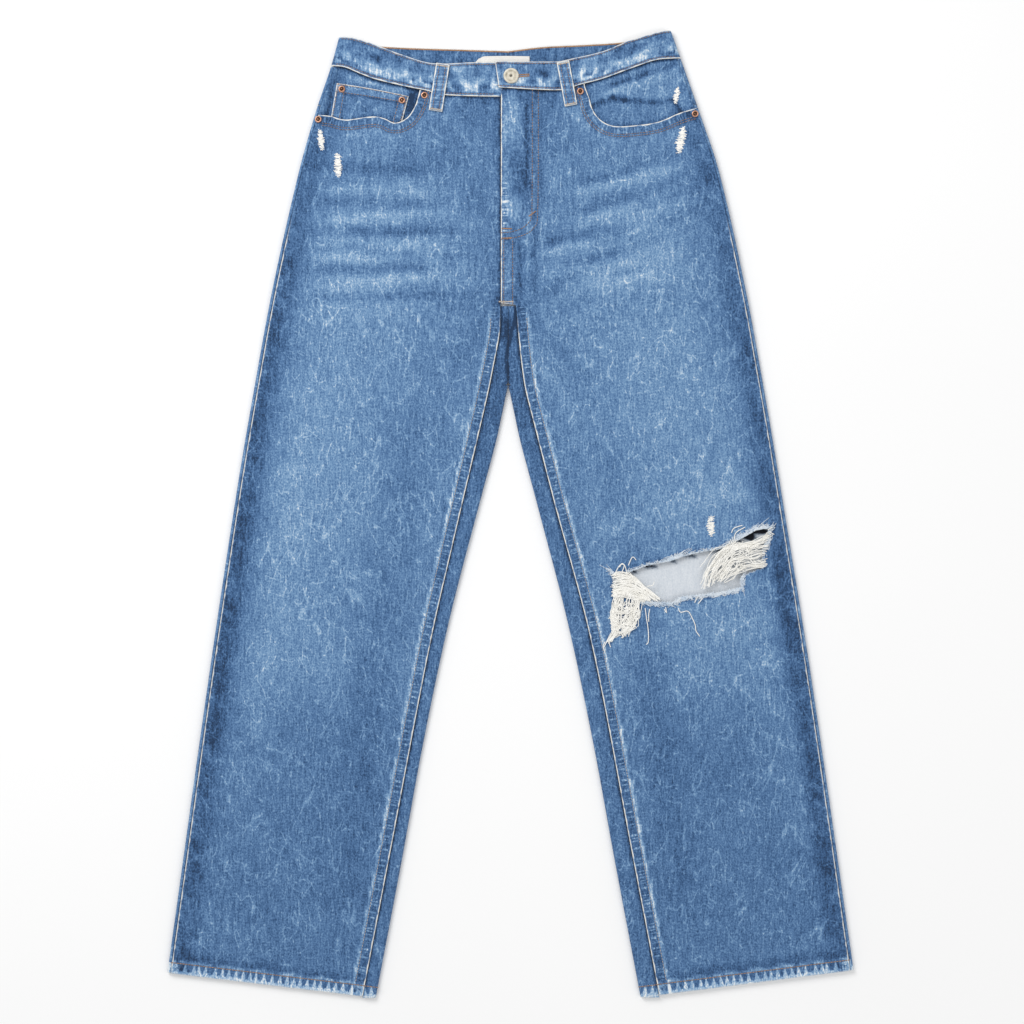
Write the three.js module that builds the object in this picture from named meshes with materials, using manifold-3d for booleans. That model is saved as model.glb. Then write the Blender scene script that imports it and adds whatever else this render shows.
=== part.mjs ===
// A pair of straight five-pocket denim jeans lying flat and face up, fastened, with one torn knee.
// Millimetres, +Z up. The waist is toward +Y and the garment rests on z = 0.
// "right" and "left" are the wearer's, so the right leg is on the -X side.
// Places across the garment are mostly given as a distance from the centre seam, positive outward.

import * as THREE from "three";
import { mergeVertices } from "three/addons/utils/BufferGeometryUtils.js";
import Module from "manifold-3d";

const wasm = await Module();
wasm.setup();

// Cloth and gaps
const denim = 1.2;
const hemThickness = 2.0;
const hemHeight = 12.8;
const bandThickness = 2.2;
const facingThickness = 1.0;
const loopThickness = 1.2;
const gap = 0.3;

// Heights of the laid garment
const legHeight = 5.6;
const hipHeight = 7.2;
const hipLift = denim + gap;
const bandTop = 8.2;
const underlapTop = 7.3;
const overlapTop = underlapTop + gap + bandThickness;

// Lengthwise places
const centreX = -2.5;
const apexY = 142;
const crotchY = 229;
const flyFootY = 234.5;
const seamInset = 4;
const flyEdgeX = -10.45;

// Past the fly edge the right waistband runs on under the left one, cut clear of the left panel.
const underlapStep = 8.35;
const underlapFoot = 470.5;

const denimBlue = "#5a82ae";
const fadedBlue = "#6f92b7";
const bandBlue = "#7596b8";
const hiddenBlue = "#54799f";

// A smooth line through a few points, giving the second value for any first value.
function lineThrough(points) {
  const last = points.length - 1;
  const slopes = points.map((point, i) => {
    const before = points[Math.max(i - 1, 0)];
    const after = points[Math.min(i + 1, last)];
    return (after[1] - before[1]) / (after[0] - before[0]);
  });
  return (at) => {
    if (at <= points[0][0]) {
      return points[0][1] + slopes[0] * (at - points[0][0]);
    }
    if (at >= points[last][0]) {
      return points[last][1] + slopes[last] * (at - points[last][0]);
    }
    let i = 0;
    while (at > points[i + 1][0]) {
      i += 1;
    }
    const span = points[i + 1][0] - points[i][0];
    const t = (at - points[i][0]) / span;
    const u = 1 - t;
    const ends = points[i][1] * u * u * (1 + 2 * t) + points[i + 1][1] * t * t * (3 - 2 * t);
    return ends + span * t * u * (slopes[i] * u - slopes[i + 1] * t);
  };
}

function smooth(low, high, value) {
  return THREE.MathUtils.smoothstep(value, low, high);
}

const lerp = THREE.MathUtils.lerp;

// The cut of each side. Lines along the leg take y and give the distance from the centre seam.
// Lines across the garment take that distance and give y.
const right = {
  name: "right",
  direction: -1,
  hemOuterY: -504.5,
  hemInnerY: -532,
  sideFold: lineThrough([[-505, 375.4], [-183, 330.3], [15, 300.6], [114, 284.1], [246, 259.9],
    [378, 230.2], [444, 211.5], [493, 195], [525, 186.2]]),
  inseam: lineThrough([[-532, 160.3], [-381, 131.2], [-140, 85], [-30, 60], [126, 23.5], [170, 14.5],
    [201, 9], [229, 8.3]]),
  frontSeam: lineThrough([[0, 459], [72, 461], [90, 465.8], [111, 470], [145, 478], [163, 484.5],
    [180, 491.5], [195, 493]]),
  frontTop: lineThrough([[-28, 497], [35, 497], [84, 496], [117, 505.4], [144, 515.5], [171, 524],
    [186, 525]]),
  backSeam: lineThrough([[0, 475], [31, 476], [143, 481], [170, 487], [195, 493]]),
  backTop: lineThrough([[0, 510], [31, 511], [143, 515.3], [170, 521], [186, 525]]),
  yokeSeam: lineThrough([[0, 402], [110, 420], [212, 450]]),
  flyEdge: centreX - flyEdgeX,
  bandLevel: (across) => lerp(underlapTop, bandTop, smooth(25, 50, across)),
  bandFoot: (across) => (across < underlapStep ? underlapFoot : right.frontSeam(across) + gap / 2),
  bandEnd: [-27.5, -27.5],
  bandStops: [underlapStep - 0.1, underlapStep + 0.1],
};
const left = {
  name: "left",
  direction: 1,
  hemOuterY: -501.5,
  hemInnerY: -531.5,
  sideFold: lineThrough([[-502, 380.4], [-183, 334.2], [15, 302.3], [114, 285.8], [246, 261.6],
    [378, 231.9], [444, 209.9], [501, 190], [532, 179]]),
  inseam: lineThrough([[-532, 166.5], [-381, 137.5], [-140, 91], [15, 49.8], [106, 26.5], [140, 18.1],
    [182, 12.5], [229, 8.3]]),
  frontSeam: lineThrough([[-10, 469], [58, 466.3], [78, 472], [104, 479], [137, 491], [163, 499.5],
    [189, 501.5]]),
  frontTop: lineThrough([[-17, 497.7], [52, 497.7], [70, 501], [104, 509], [131, 520], [154, 527],
    [171, 531.5], [179, 532]]),
  backSeam: lineThrough([[0, 475], [36, 479], [87, 482], [128, 486], [160, 493.5], [189, 501.5]]),
  backTop: lineThrough([[0, 510], [36, 514.4], [87, 517], [128, 520], [160, 527], [179, 532]]),
  yokeSeam: lineThrough([[0, 402], [110, 420], [212, 452]]),
  flyEdge: flyEdgeX - centreX,
  bandLevel: (across) => lerp(overlapTop, bandTop, smooth(34, 58, across)),
  bandFoot: (across) => left.frontSeam(across) + gap / 2,
  bandEnd: [-10.5, -14.5],
  bandStops: [],
};
const sides = [right, left];

// The inner fold of each leg, below the point where the legs part.
const innerFold = lineThrough([[-533, 146], [-381, 117.2], [-249, 93], [-117, 65], [15, 30.8], [81, 13.2],
  [114, 6.1], [apexY, gap / 2]]);

// Soft folds in the face: long crowns down the thighs and creases that spread from the fork.
const folds = [
  { from: [-150, 120], to: [-245, -440], width: 60, height: 0.5 },
  { from: [145, 120], to: [240, -440], width: 60, height: 0.5 },
  { from: [-52, 252], to: [-196, 318], width: 24, height: 0.5 },
  { from: [-62, 200], to: [-214, 222], width: 24, height: 0.5 },
  { from: [48, 252], to: [190, 352], width: 24, height: 0.5 },
  { from: [58, 200], to: [208, 262], width: 24, height: 0.5 },
];

function distanceToFold(fold, x, y) {
  const line = new THREE.Line3(
    new THREE.Vector3(...fold.from, 0),
    new THREE.Vector3(...fold.to, 0),
  );
  const point = new THREE.Vector3(x, y, 0);
  return point.distanceTo(line.closestPointToPoint(point, true, new THREE.Vector3()));
}

// Outer surface of the front layer, and outer (under) surface of the back layer.
function faceZ(x, y) {
  let height = lerp(legHeight, hipHeight, smooth(150, 300, y));
  for (const fold of folds) {
    height += fold.height * Math.exp(-((distanceToFold(fold, x, y) / fold.width) ** 2));
  }
  return height;
}

function underZ(y) {
  return hipLift * smooth(190, 227, y);
}

// Each station of a sheet is a pair of points, on its outer and its inner face.
function station(outer, inner) {
  return { outer: new THREE.Vector3(...outer), inner: new THREE.Vector3(...inner) };
}

function flatStation(x, y, z, inward) {
  return station([x, y, z], [x, y, z + inward]);
}

const foldSteps = 4;

// Half-round stations about a fold whose outermost line is at foldX; the cloth lies toward `inside`.
function foldStations(foldX, y, low, high, inside, thickness) {
  const radius = (high - low) / 2;
  const middle = (high + low) / 2;
  const stations = [];
  for (let i = 0; i <= foldSteps; i += 1) {
    const angle = Math.PI * (i / foldSteps - 0.5);
    const point = (r) => [
      foldX + inside * (radius - r * Math.cos(angle)),
      y,
      middle + r * Math.sin(angle),
    ];
    stations.push(station(point(radius), point(radius - thickness)));
  }
  return stations;
}

// A closed solid from a grid of stations; places with no station are left open.
function sheetGeometry(rows) {
  const positions = [];
  const numbers = new Map();
  const number = (row, column) => {
    const key = `${row},${column}`;
    if (!numbers.has(key)) {
      numbers.set(key, positions.length / 3);
      const { outer, inner } = rows[row][column];
      positions.push(outer.x, outer.y, outer.z, inner.x, inner.y, inner.z);
    }
    return numbers.get(key);
  };
  const triangles = [];
  const edges = new Map();
  const addFace = (a, b, c) => {
    triangles.push(a, b, c, a + 1, c + 1, b + 1);
    for (const [from, to] of [[a, b], [b, c], [c, a]]) {
      edges.set(`${from},${to}`, [from, to]);
    }
  };
  for (let row = 0; row + 1 < rows.length; row += 1) {
    for (let column = 0; column + 1 < rows[row].length; column += 1) {
      const corners = [[row, column], [row, column + 1], [row + 1, column + 1], [row + 1, column]];
      if (corners.every(([j, i]) => rows[j][i])) {
        const [a, b, c, d] = corners.map(([j, i]) => number(j, i));
        addFace(a, b, c);
        addFace(a, c, d);
      }
    }
  }
  for (const [from, to] of edges.values()) {
    if (!edges.has(`${to},${from}`)) {
      triangles.push(to, from, from + 1, to, from + 1, to + 1);
    }
  }
  return facingOut(positions, triangles);
}

// Turns the faces round if the solid would be inside out.
function facingOut(positions, triangles) {
  const corner = (i) => new THREE.Vector3().fromArray(positions, 3 * triangles[i]);
  let volume = 0;
  for (let i = 0; i < triangles.length; i += 3) {
    volume += corner(i).dot(corner(i + 1).cross(corner(i + 2)));
  }
  const faces = volume < 0 ? [...triangles].reverse() : triangles;
  const geometry = new THREE.BufferGeometry();
  geometry.setAttribute("position", new THREE.Float32BufferAttribute(positions, 3));
  geometry.setIndex(faces);
  geometry.computeVertexNormals();
  return geometry;
}

function toSolid(geometry) {
  const bare = geometry.clone();
  bare.deleteAttribute("normal");
  bare.deleteAttribute("uv");
  const merged = mergeVertices(bare);
  return new wasm.Manifold(new wasm.Mesh({
    numProp: 3,
    vertProperties: Float32Array.from(merged.attributes.position.array),
    triVerts: Uint32Array.from(merged.index.array),
  }));
}

// Cuts an outline through the face layer of a piece, leaving its back layer whole.
function cutFace(geometry, shape) {
  const cutFoot = hipLift + bandThickness + gap;
  const cutDepth = 20;
  const settings = { depth: cutDepth, bevelEnabled: false, curveSegments: 5 };
  const cutter = new THREE.ExtrudeGeometry(shape, settings);
  cutter.translate(0, 0, cutFoot);
  const mesh = toSolid(geometry).subtract(toSolid(cutter)).getMesh();
  const result = new THREE.BufferGeometry();
  result.setAttribute("position", new THREE.Float32BufferAttribute(mesh.vertProperties, 3));
  result.setIndex([...mesh.triVerts]);
  result.computeVertexNormals();
  return result;
}

function polygon(points) {
  return new THREE.Shape(points.map(([x, y]) => new THREE.Vector2(x, y)));
}

// A flat piece that lies on a surface: its outline extruded, then each point raised onto the surface.
function layOn(surface, shape, thickness) {
  const geometry = new THREE.ExtrudeGeometry(shape, { depth: thickness, bevelEnabled: false });
  const position = geometry.attributes.position;
  for (let i = 0; i < position.count; i += 1) {
    position.setZ(i, position.getZ(i) + surface(position.getX(i), position.getY(i)));
  }
  geometry.computeVertexNormals();
  return geometry;
}

const group = new THREE.Group();

function addPiece(name, geometry, color, roughness = 0.9, metalness = 0) {
  const mesh = new THREE.Mesh(geometry, new THREE.MeshStandardMaterial({ color, roughness, metalness }));
  mesh.name = name;
  group.add(mesh);
}

function toX(side, across) {
  return centreX + side.direction * across;
}

// Rows across one leg, from the hem to the fork: a straight line that turns level at the top.
const legRowCount = 13;

function legRow(side, rise) {
  const outerY = lerp(side.hemOuterY, apexY, rise);
  const innerY = lerp(side.hemInnerY, apexY, rise);
  const outer = side.sideFold(outerY);
  const inner = innerFold(innerY);
  return {
    fold: outer,
    inner,
    y: (across) => lerp(outerY, innerY, (outer - across) / (outer - inner)),
    thickness: rise < (hemHeight + 0.1) / (apexY - side.hemInnerY) ? hemThickness : denim,
  };
}

function legRises(side) {
  const length = apexY - side.hemInnerY;
  const rises = [0, hemHeight / length, (hemHeight + 1.5) / length];
  for (let i = 1; i <= legRowCount; i += 1) {
    rises.push(i / legRowCount);
  }
  return rises;
}

// A row whose height is any function of the distance across; the fold is found where they meet.
function hipRow(side, y) {
  let fold = side.sideFold(y(200));
  for (let i = 0; i < 4; i += 1) {
    fold = side.sideFold(y(fold));
  }
  return { fold, inner: null, y, thickness: denim };
}

function levelRows(side, heights) {
  return heights.map((height) => hipRow(side, () => height));
}

// Rows that change evenly from one line to another.
function blendedRows(side, lower, upper, count) {
  const rows = [];
  for (let i = 1; i <= count; i += 1) {
    rows.push(hipRow(side, (across) => lerp(lower(across), upper(across), i / count)));
  }
  return rows;
}

// Where a row crosses the side seam, which runs beside the side fold.
function seamAcross(side, row, inset) {
  let across = row.fold - inset;
  for (let i = 0; i < 4; i += 1) {
    across = side.sideFold(row.y(across)) - inset;
  }
  return across;
}

const frontColumns = 9;
const backColumns = 8;

function flyEnd(side) {
  return side.flyEdge + (side === right ? gap : 0);
}

// Front leg panel: from the side seam, just inside the fold, to the fly edge and the inseam.
function frontPanel(side) {
  const seam = (across) => side.frontSeam(across) - gap / 2;
  const rows = [
    ...legRises(side).map((rise) => legRow(side, rise)),
    ...levelRows(side, [apexY + 3, 172, 200, crotchY, flyFootY]),
    ...blendedRows(side, () => flyFootY, seam, 9),
  ];
  return sheetGeometry(rows.map((row) => {
    const start = seamAcross(side, row, seamInset);
    const onFly = row.y(start) > crotchY + 1;
    const end = onFly ? flyEnd(side) : side.inseam(row.y(row.inner ?? 0)) + gap;
    const stations = [];
    for (let i = 0; i <= frontColumns; i += 1) {
      const across = lerp(start, end, i / frontColumns);
      const x = toX(side, across);
      const y = row.y(across);
      stations.push(flatStation(x, y, faceZ(x, y), -row.thickness));
    }
    return stations;
  }));
}

// Stations of the back layer: from the side seam on the face, round the side fold, along the underside.
// The underside's first station can be given, `clear` of the fold's end.
function backStations(side, row, innerEnd, columns, clear = null) {
  const foldY = row.y(row.fold);
  const foldX = toX(side, row.fold);
  const high = faceZ(toX(side, row.fold - seamInset), foldY);
  const start = seamAcross(side, row, seamInset - gap);
  const stations = [flatStation(toX(side, start), row.y(start), high, -row.thickness)];
  stations.push(...foldStations(foldX, foldY, underZ(foldY), high, -side.direction, row.thickness).reverse());
  const under = row.fold - (high - underZ(foldY)) / 2 - (clear ?? 0);
  for (let i = clear === null ? 1 : 0; i <= columns; i += 1) {
    const across = lerp(under, innerEnd, i / columns);
    const y = row.y(across);
    stations.push(flatStation(toX(side, across), y, underZ(y), row.thickness));
  }
  return stations;
}

// Back leg panel, in three strips that part just inside its folds: the flat underside, the turn round
// the side fold to the side seam, and the turn round the inner fold to the inseam, which runs on above
// the fork as a tongue on the face.
function backPanel(side) {
  const seam = (across) => side.yokeSeam(across) - gap / 2;
  const belowFork = legRises(side).map((rise) => legRow(side, rise));
  const atFork = levelRows(side, [apexY + 3, 172, 200, crotchY]);
  const aboveFork = blendedRows(side, () => crotchY, seam, 9);
  const turnWidth = foldSteps + 2;

  const sideTurn = (row) => backStations(side, row, 0, 1).slice(0, turnWidth);
  const underside = (row) => {
    let innerEnd = gap / 2;
    if (row.inner !== null) {
      const innerY = row.y(row.inner);
      innerEnd = row.inner + innerRadius(side, row, innerY) + gap;
    }
    return backStations(side, row, innerEnd, backColumns, gap).slice(turnWidth);
  };
  const innerTurn = (row) => {
    const innerY = row.y(row.inner);
    const x = toX(side, row.inner);
    const low = underZ(innerY);
    const high = low + 2 * innerRadius(side, row, innerY);
    const end = side.inseam(innerY);
    const endX = toX(side, end);
    return [
      ...foldStations(x, innerY, low, high, side.direction, row.thickness),
      flatStation(endX, innerY, faceZ(endX, innerY), -row.thickness),
    ];
  };
  const tongue = (row) => {
    const y = row.y(0);
    const ends = [gap / 2, side.inseam(y)].map((across) => {
      const x = toX(side, across);
      return flatStation(x, y, faceZ(x, y), -row.thickness);
    });
    return [...Array(foldSteps).fill(null), ...ends];
  };
  return {
    underside: sheetGeometry([...belowFork, ...atFork, ...aboveFork].map(underside)),
    sideTurn: sheetGeometry([...belowFork, ...atFork, ...aboveFork].map(sideTurn)),
    innerTurn: sheetGeometry([...belowFork.map(innerTurn), ...atFork.map(tongue)]),
  };
}

function innerRadius(side, row, innerY) {
  return (faceZ(toX(side, row.inner + seamInset), innerY) - underZ(innerY)) / 2;
}

// Back yoke: between the back panel and the waistband, round the side fold to the side seam.
function yoke(side) {
  const lower = (across) => side.yokeSeam(across) + gap / 2;
  const upper = (across) => side.backSeam(across) - gap / 2;
  const rows = [hipRow(side, lower), ...blendedRows(side, lower, upper, 3)];
  return sheetGeometry(rows.map((row) => backStations(side, row, gap / 2, backColumns)));
}

// Waistband half: along the face from the fastening, round the side fold, under to the centre back.
// Its lower edge bends at the same places as the front panel's top edge.
function waistband(side) {
  const radius = (bandTop - hipLift) / 2;
  return sheetGeometry([0, 0.5, 1].map((rise) => {
    const frontY = (at) => lerp(side.bandFoot(at), side.frontTop(at), rise);
    const backY = (at) => lerp(side.backSeam(at) + gap / 2, side.backTop(at), rise);
    const { fold } = hipRow(side, frontY);
    const stops = [lerp(...side.bandEnd, rise), ...side.bandStops];
    const seam = seamAcross(side, { fold, y: frontY }, seamInset);
    for (let i = side === right ? 1 : 0; i <= frontColumns; i += 1) {
      stops.push(lerp(flyEnd(side), seam, i / frontColumns));
    }
    const stations = stops.map((at) => flatStation(
      toX(side, at),
      frontY(at),
      side.bandLevel(at),
      -bandThickness,
    ));
    const arc = foldStations(
      toX(side, fold),
      frontY(fold),
      hipLift,
      bandTop,
      -side.direction,
      bandThickness,
    );
    stations.push(...arc.reverse());
    for (let i = 1; i <= backColumns; i += 1) {
      const at = lerp(fold - radius, gap / 2, i / backColumns);
      stations.push(flatStation(toX(side, at), backY(at), hipLift, bandThickness));
    }
    return stations;
  }));
}

// Pocket mouths: each is cut away from the front panel up to the waist and out past the side seam.
const mouths = {
  right: [[-216, 439.5], [-198, 438], [-181, 434], [-153, 437.5], [-139, 435.5], [-127, 430.5], [-114, 436],
    [-105, 449], [-100.5, 464]],
  left: [[202, 446], [185, 441], [162, 431.5], [135, 427.5], [114, 427], [100, 433], [91, 444], [86.5, 458],
    [81.5, 471.5]],
};

function mouthShape(side) {
  const edge = mouths[side.name].map(([x, y]) => new THREE.Vector2(x, y));
  const first = edge[0];
  const last = edge[edge.length - 1];
  const aboveWaist = 560;
  const shape = new THREE.Shape();
  shape.moveTo(first.x, first.y);
  shape.splineThru(edge.slice(1));
  shape.lineTo(last.x, aboveWaist);
  shape.lineTo(first.x + side.direction * 30, aboveWaist);
  shape.lineTo(first.x + side.direction * 30, first.y);
  return shape;
}

// The knee tear in the left front panel, and the two combs of bared white threads across its ends.
const tear = polygon([[118, -72], [129, -64], [150, -56], [174, -51.5], [189, -46], [211, -41], [228, -38.5],
  [242, -33], [255, -25.5], [270, -17], [285, -14.5], [277, -40], [278, -58], [254, -68], [254, -81],
  [228, -86.5], [189, -91], [177, -97.5], [160, -97], [140, -94], [126, -84]]);
const innerThreads = polygon([[111.5, -66], [125, -56], [162, -95], [141, -97], [136.5, -124], [125, -136],
  [109.5, -120.5]]);
const outerThreads = polygon([[287, -14], [277, -46], [278, -59], [253, -66], [221.5, -73.5], [210.5, -52.5],
  [254.5, -30], [272, -24]]);

const buttonX = 0.7;
const buttonY = 481.7;
const buttonRadius = 8.5;
const buttonholeEndX = 21;

// Buttonhole: a slit with a round eye about the button's stem.
function buttonholeShape() {
  const eye = 4.4;
  const halfSlit = 0.8;
  const start = Math.asin(halfSlit / eye);
  const shape = new THREE.Shape();
  shape.absarc(buttonX, buttonY, eye, start, 2 * Math.PI - start, false);
  shape.lineTo(buttonholeEndX, buttonY - halfSlit);
  shape.lineTo(buttonholeEndX, buttonY + halfSlit);
  return shape;
}

// Facing inside a pocket mouth, just under the front panel.
const facings = {
  right: { depth: denim + gap + facingThickness + gap, endAcross: 76, foot: 408 },
  left: { depth: denim + gap, endAcross: 64, foot: 403 },
};

function facing(side) {
  const { depth, endAcross, foot } = facings[side.name];
  const outer = (y) => side.sideFold(y) - seamInset - gap;
  const points = [[toX(side, endAcross), foot], [toX(side, outer(foot)), foot]];
  const topY = side.frontSeam(outer(490)) - 1;
  const steps = 6;
  for (let i = 1; i <= steps; i += 1) {
    const y = lerp(foot, topY, i / steps);
    points.push([toX(side, outer(y)), y]);
  }
  for (let i = 1; i <= steps; i += 1) {
    const across = lerp(outer(topY), endAcross, i / steps);
    points.push([toX(side, across), side.frontSeam(across) - 1]);
  }
  return layOn((x, y) => faceZ(x, y) - depth - facingThickness, polygon(points), facingThickness);
}

// A strip that follows the face from the waistband's top down onto the front panel.
function frontLoop(side, top, foot, width) {
  const steps = 8;
  const rows = [];
  for (let i = 0; i <= steps; i += 1) {
    const x = lerp(top[0], foot[0], i / steps);
    const y = lerp(top[1], foot[1], i / steps);
    const across = side.direction * (x - centreX);
    const seam = side.frontSeam(across);
    const onBand = smooth(seam - 14, seam - 4, y);
    const inner = lerp(faceZ(x, y), side.bandLevel(across), onBand) + gap;
    const edges = [x - width / 2, x + width / 2];
    rows.push(edges.map((at) => flatStation(at, y, inner + loopThickness, -loopThickness)));
  }
  return sheetGeometry(rows);
}

// A flat piece on the underside, with its outer face on z = 0.
function underPatch(shape) {
  return layOn(() => 0, shape, denim);
}

function backLoop(x, foot, top) {
  const half = 6.75;
  return underPatch(polygon([[x - half, foot], [x + half, foot], [x + half, top], [x - half, top]]));
}

function backPocket(side) {
  const outline = [[32, 386], [46, 250], [108, 234], [170, 256], [178, 402]];
  return underPatch(polygon(outline.map(([across, y]) => [toX(side, across), y])));
}

// Fly shield: the strip behind the fly edge, made from the face's points moved in.
function flyShield() {
  const rows = [];
  const steps = 9;
  for (let i = 0; i <= steps; i += 1) {
    const y = lerp(244, 452, i / steps);
    rows.push([-24, 0, 24].map((x) => flatStation(x, y, faceZ(x, y) - denim - 2 * gap, -denim)));
  }
  return sheetGeometry(rows);
}

function turned(profile, x, y, z, steps) {
  const geometry = new THREE.LatheGeometry(profile.map(([r, h]) => new THREE.Vector2(r, h)), steps);
  geometry.rotateX(Math.PI / 2);
  geometry.translate(x, y, z);
  return geometry;
}

// Shank button: a stem through the buttonhole under a dished cap with a rim.
function button() {
  const stemFoot = underlapTop + gap;
  const capFoot = overlapTop + gap - stemFoot;
  const profile = [[0, 0], [3, 0], [3, capFoot], [buttonRadius - 1, capFoot], [buttonRadius, capFoot + 0.9],
    [buttonRadius - 0.5, capFoot + 1.8], [buttonRadius - 2, capFoot + 2.3], [buttonRadius - 3, capFoot + 1.7],
    [1.4, capFoot + 1.6], [1.2, capFoot + 1], [0, capFoot + 1]];
  return turned(profile, buttonX, buttonY, stemFoot, 24);
}

const rivetRadius = 3.8;
const rivetProfile = [[0, 0], [rivetRadius, 0], [rivetRadius - 0.8, 1], [1.9, 1], [0, 0.6]];

const coinSurface = (x, y) => faceZ(x, y) - denim - gap - facingThickness;
const rivets = [
  { x: -211.4, y: 434.4, on: faceZ },
  { x: -94.6, y: 460.9, on: faceZ },
  { x: -185.6, y: 468, on: (x, y) => coinSurface(x, y) + facingThickness },
  { x: -119.4, y: 455.8, on: (x, y) => coinSurface(x, y) + facingThickness },
  { x: 76.8, y: 465.2, on: faceZ },
  { x: 203, y: 440.4, on: faceZ },
];

for (const side of sides) {
  let panel = cutFace(frontPanel(side), mouthShape(side));
  if (side === left) {
    panel = cutFace(panel, tear);
  }
  addPiece(`front_${side.name}_leg`, panel, fadedBlue);
  const back = backPanel(side);
  addPiece(`back_${side.name}_leg`, back.underside, denimBlue);
  addPiece(`back_${side.name}_side_turn`, back.sideTurn, denimBlue);
  addPiece(`back_${side.name}_inner_turn`, back.innerTurn, denimBlue);
  addPiece(`yoke_${side.name}`, yoke(side), hiddenBlue);
  const band = waistband(side);
  addPiece(`waistband_${side.name}`, side === left ? cutFace(band, buttonholeShape()) : band, bandBlue);
  addPiece(`pocket_facing_${side.name}`, facing(side), denimBlue);
  addPiece(`back_pocket_${side.name}`, backPocket(side), hiddenBlue);
}

const coinOutline = polygon([[-191, 474.5], [-199, 428], [-121.5, 424], [-112, 460]]);
addPiece("coin_pocket", layOn(coinSurface, coinOutline, facingThickness), denimBlue);
addPiece("fly_shield", flyShield(), hiddenBlue);

addPiece("belt_loop_1", frontLoop(right, [-74.2, 495], [-82.5, 443.5], 14.6), bandBlue);
addPiece("belt_loop_2", frontLoop(left, [57.5, 497.5], [66.5, 449.5], 13.6), bandBlue);
addPiece("belt_loop_3", backLoop(centreX, 448, 508), hiddenBlue);
addPiece("belt_loop_4", backLoop(toX(right, 150), 452, 514), hiddenBlue);
addPiece("belt_loop_5", backLoop(toX(left, 145), 456, 521), hiddenBlue);

// Blank label on the inside of the back waistband.
const labelFoot = 474;
const labelTop = 504;
const labelShape = polygon([[-39, labelFoot], [22, labelFoot], [21, labelTop], [-19, labelTop],
  [-38.5, labelTop - 3]]);
const bandInside = hipLift + bandThickness;
addPiece("waist_label", layOn(() => bandInside + gap, labelShape, 0.8), "#e9e6de");

addPiece("button", button(), "#dcd6c4", 0.4, 0.6);
rivets.forEach((rivet, i) => {
  const geometry = turned(rivetProfile, rivet.x, rivet.y, rivet.on(rivet.x, rivet.y) + gap, 14);
  addPiece(`rivet_${i + 1}`, geometry, "#b06f4c", 0.4, 0.9);
});

// Bared threads stand for their reach as thin plates a little above the panel.
const threadThickness = 1;
const threadGap = 0.5;
const threadsLie = (x, y) => faceZ(x, y) + threadGap;
addPiece("tear_threads_inner", layOn(threadsLie, innerThreads, threadThickness), "#efebe2");
addPiece("tear_threads_outer", layOn(threadsLie, outerThreads, threadThickness), "#efebe2");

export default group;
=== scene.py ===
# A pair of ripped straight jeans, laid flat and face up: cloth shells, seams, stitches and metal.
# Sizes are in millimetres and become metres when a mesh is made. The waist is toward +Y.
# "right" and "left" are the wearer's; "across" is the distance from the centre seam.
import math

import bpy
import numpy as np
from mathutils.geometry import delaunay_2d_cdt
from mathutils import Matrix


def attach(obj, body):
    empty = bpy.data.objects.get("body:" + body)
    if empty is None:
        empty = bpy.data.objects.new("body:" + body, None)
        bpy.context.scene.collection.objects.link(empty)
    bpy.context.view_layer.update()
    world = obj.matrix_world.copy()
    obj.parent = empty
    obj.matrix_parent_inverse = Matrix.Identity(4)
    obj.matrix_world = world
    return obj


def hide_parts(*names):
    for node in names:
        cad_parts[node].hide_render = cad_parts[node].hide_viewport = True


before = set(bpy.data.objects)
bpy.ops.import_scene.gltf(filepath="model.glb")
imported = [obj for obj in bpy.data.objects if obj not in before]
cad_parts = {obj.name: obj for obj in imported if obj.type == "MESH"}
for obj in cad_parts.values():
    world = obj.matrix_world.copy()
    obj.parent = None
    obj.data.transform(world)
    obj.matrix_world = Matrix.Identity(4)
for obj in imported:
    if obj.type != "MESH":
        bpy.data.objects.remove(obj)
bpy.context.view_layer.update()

mm = 0.001

cloth = {"denim": 1.2, "hem": 2.0, "hemHeight": 12.8, "band": 2.2, "facing": 1.0, "loop": 1.2, "gap": 0.3}
levels = {"leg": 5.6, "hip": 7.2, "lift": 1.5, "bandTop": 8.2, "underlapTop": 7.3, "overlapTop": 9.8}
places = {"centreX": -2.5, "forkY": 142.0, "crotchY": 229.0, "seamInset": 4.0, "flyEdgeX": -10.45}
gap = cloth["gap"]
denim = cloth["denim"]
centreX = places["centreX"]


# lines, ramps and soft noise
def lineThrough(points):
    # A smooth function through points in rising order, straight beyond both ends.
    knots = np.array(points, float)
    xs, ys = knots[:, 0], knots[:, 1]
    last = len(xs) - 1
    before = np.maximum(np.arange(last + 1) - 1, 0)
    after = np.minimum(np.arange(last + 1) + 1, last)
    slopes = (ys[after] - ys[before]) / (xs[after] - xs[before])

    def value(at):
        at = np.asarray(at, float)
        i = np.clip(np.searchsorted(xs, at) - 1, 0, last - 1)
        span = xs[i + 1] - xs[i]
        t = np.clip((at - xs[i]) / span, 0, 1)
        u = 1 - t
        inside = ys[i] * u * u * (1 + 2 * t) + ys[i + 1] * t * t * (3 - 2 * t)
        inside = inside + span * t * u * (slopes[i] * u - slopes[i + 1] * t)
        return inside + np.minimum(at - xs[0], 0) * slopes[0] + np.maximum(at - xs[-1], 0) * slopes[-1]
    return value


def smooth(low, high, value):
    t = np.clip((np.asarray(value, float) - low) / (high - low), 0, 1)
    return t * t * (3 - 2 * t)


def lerp(a, b, t):
    return a + (b - a) * t


def bump(value, centre, width):
    return np.exp(-((np.asarray(value, float) - centre) / width) ** 2)


lattice = np.random.default_rng(11).random((256, 256)) * 2 - 1


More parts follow.
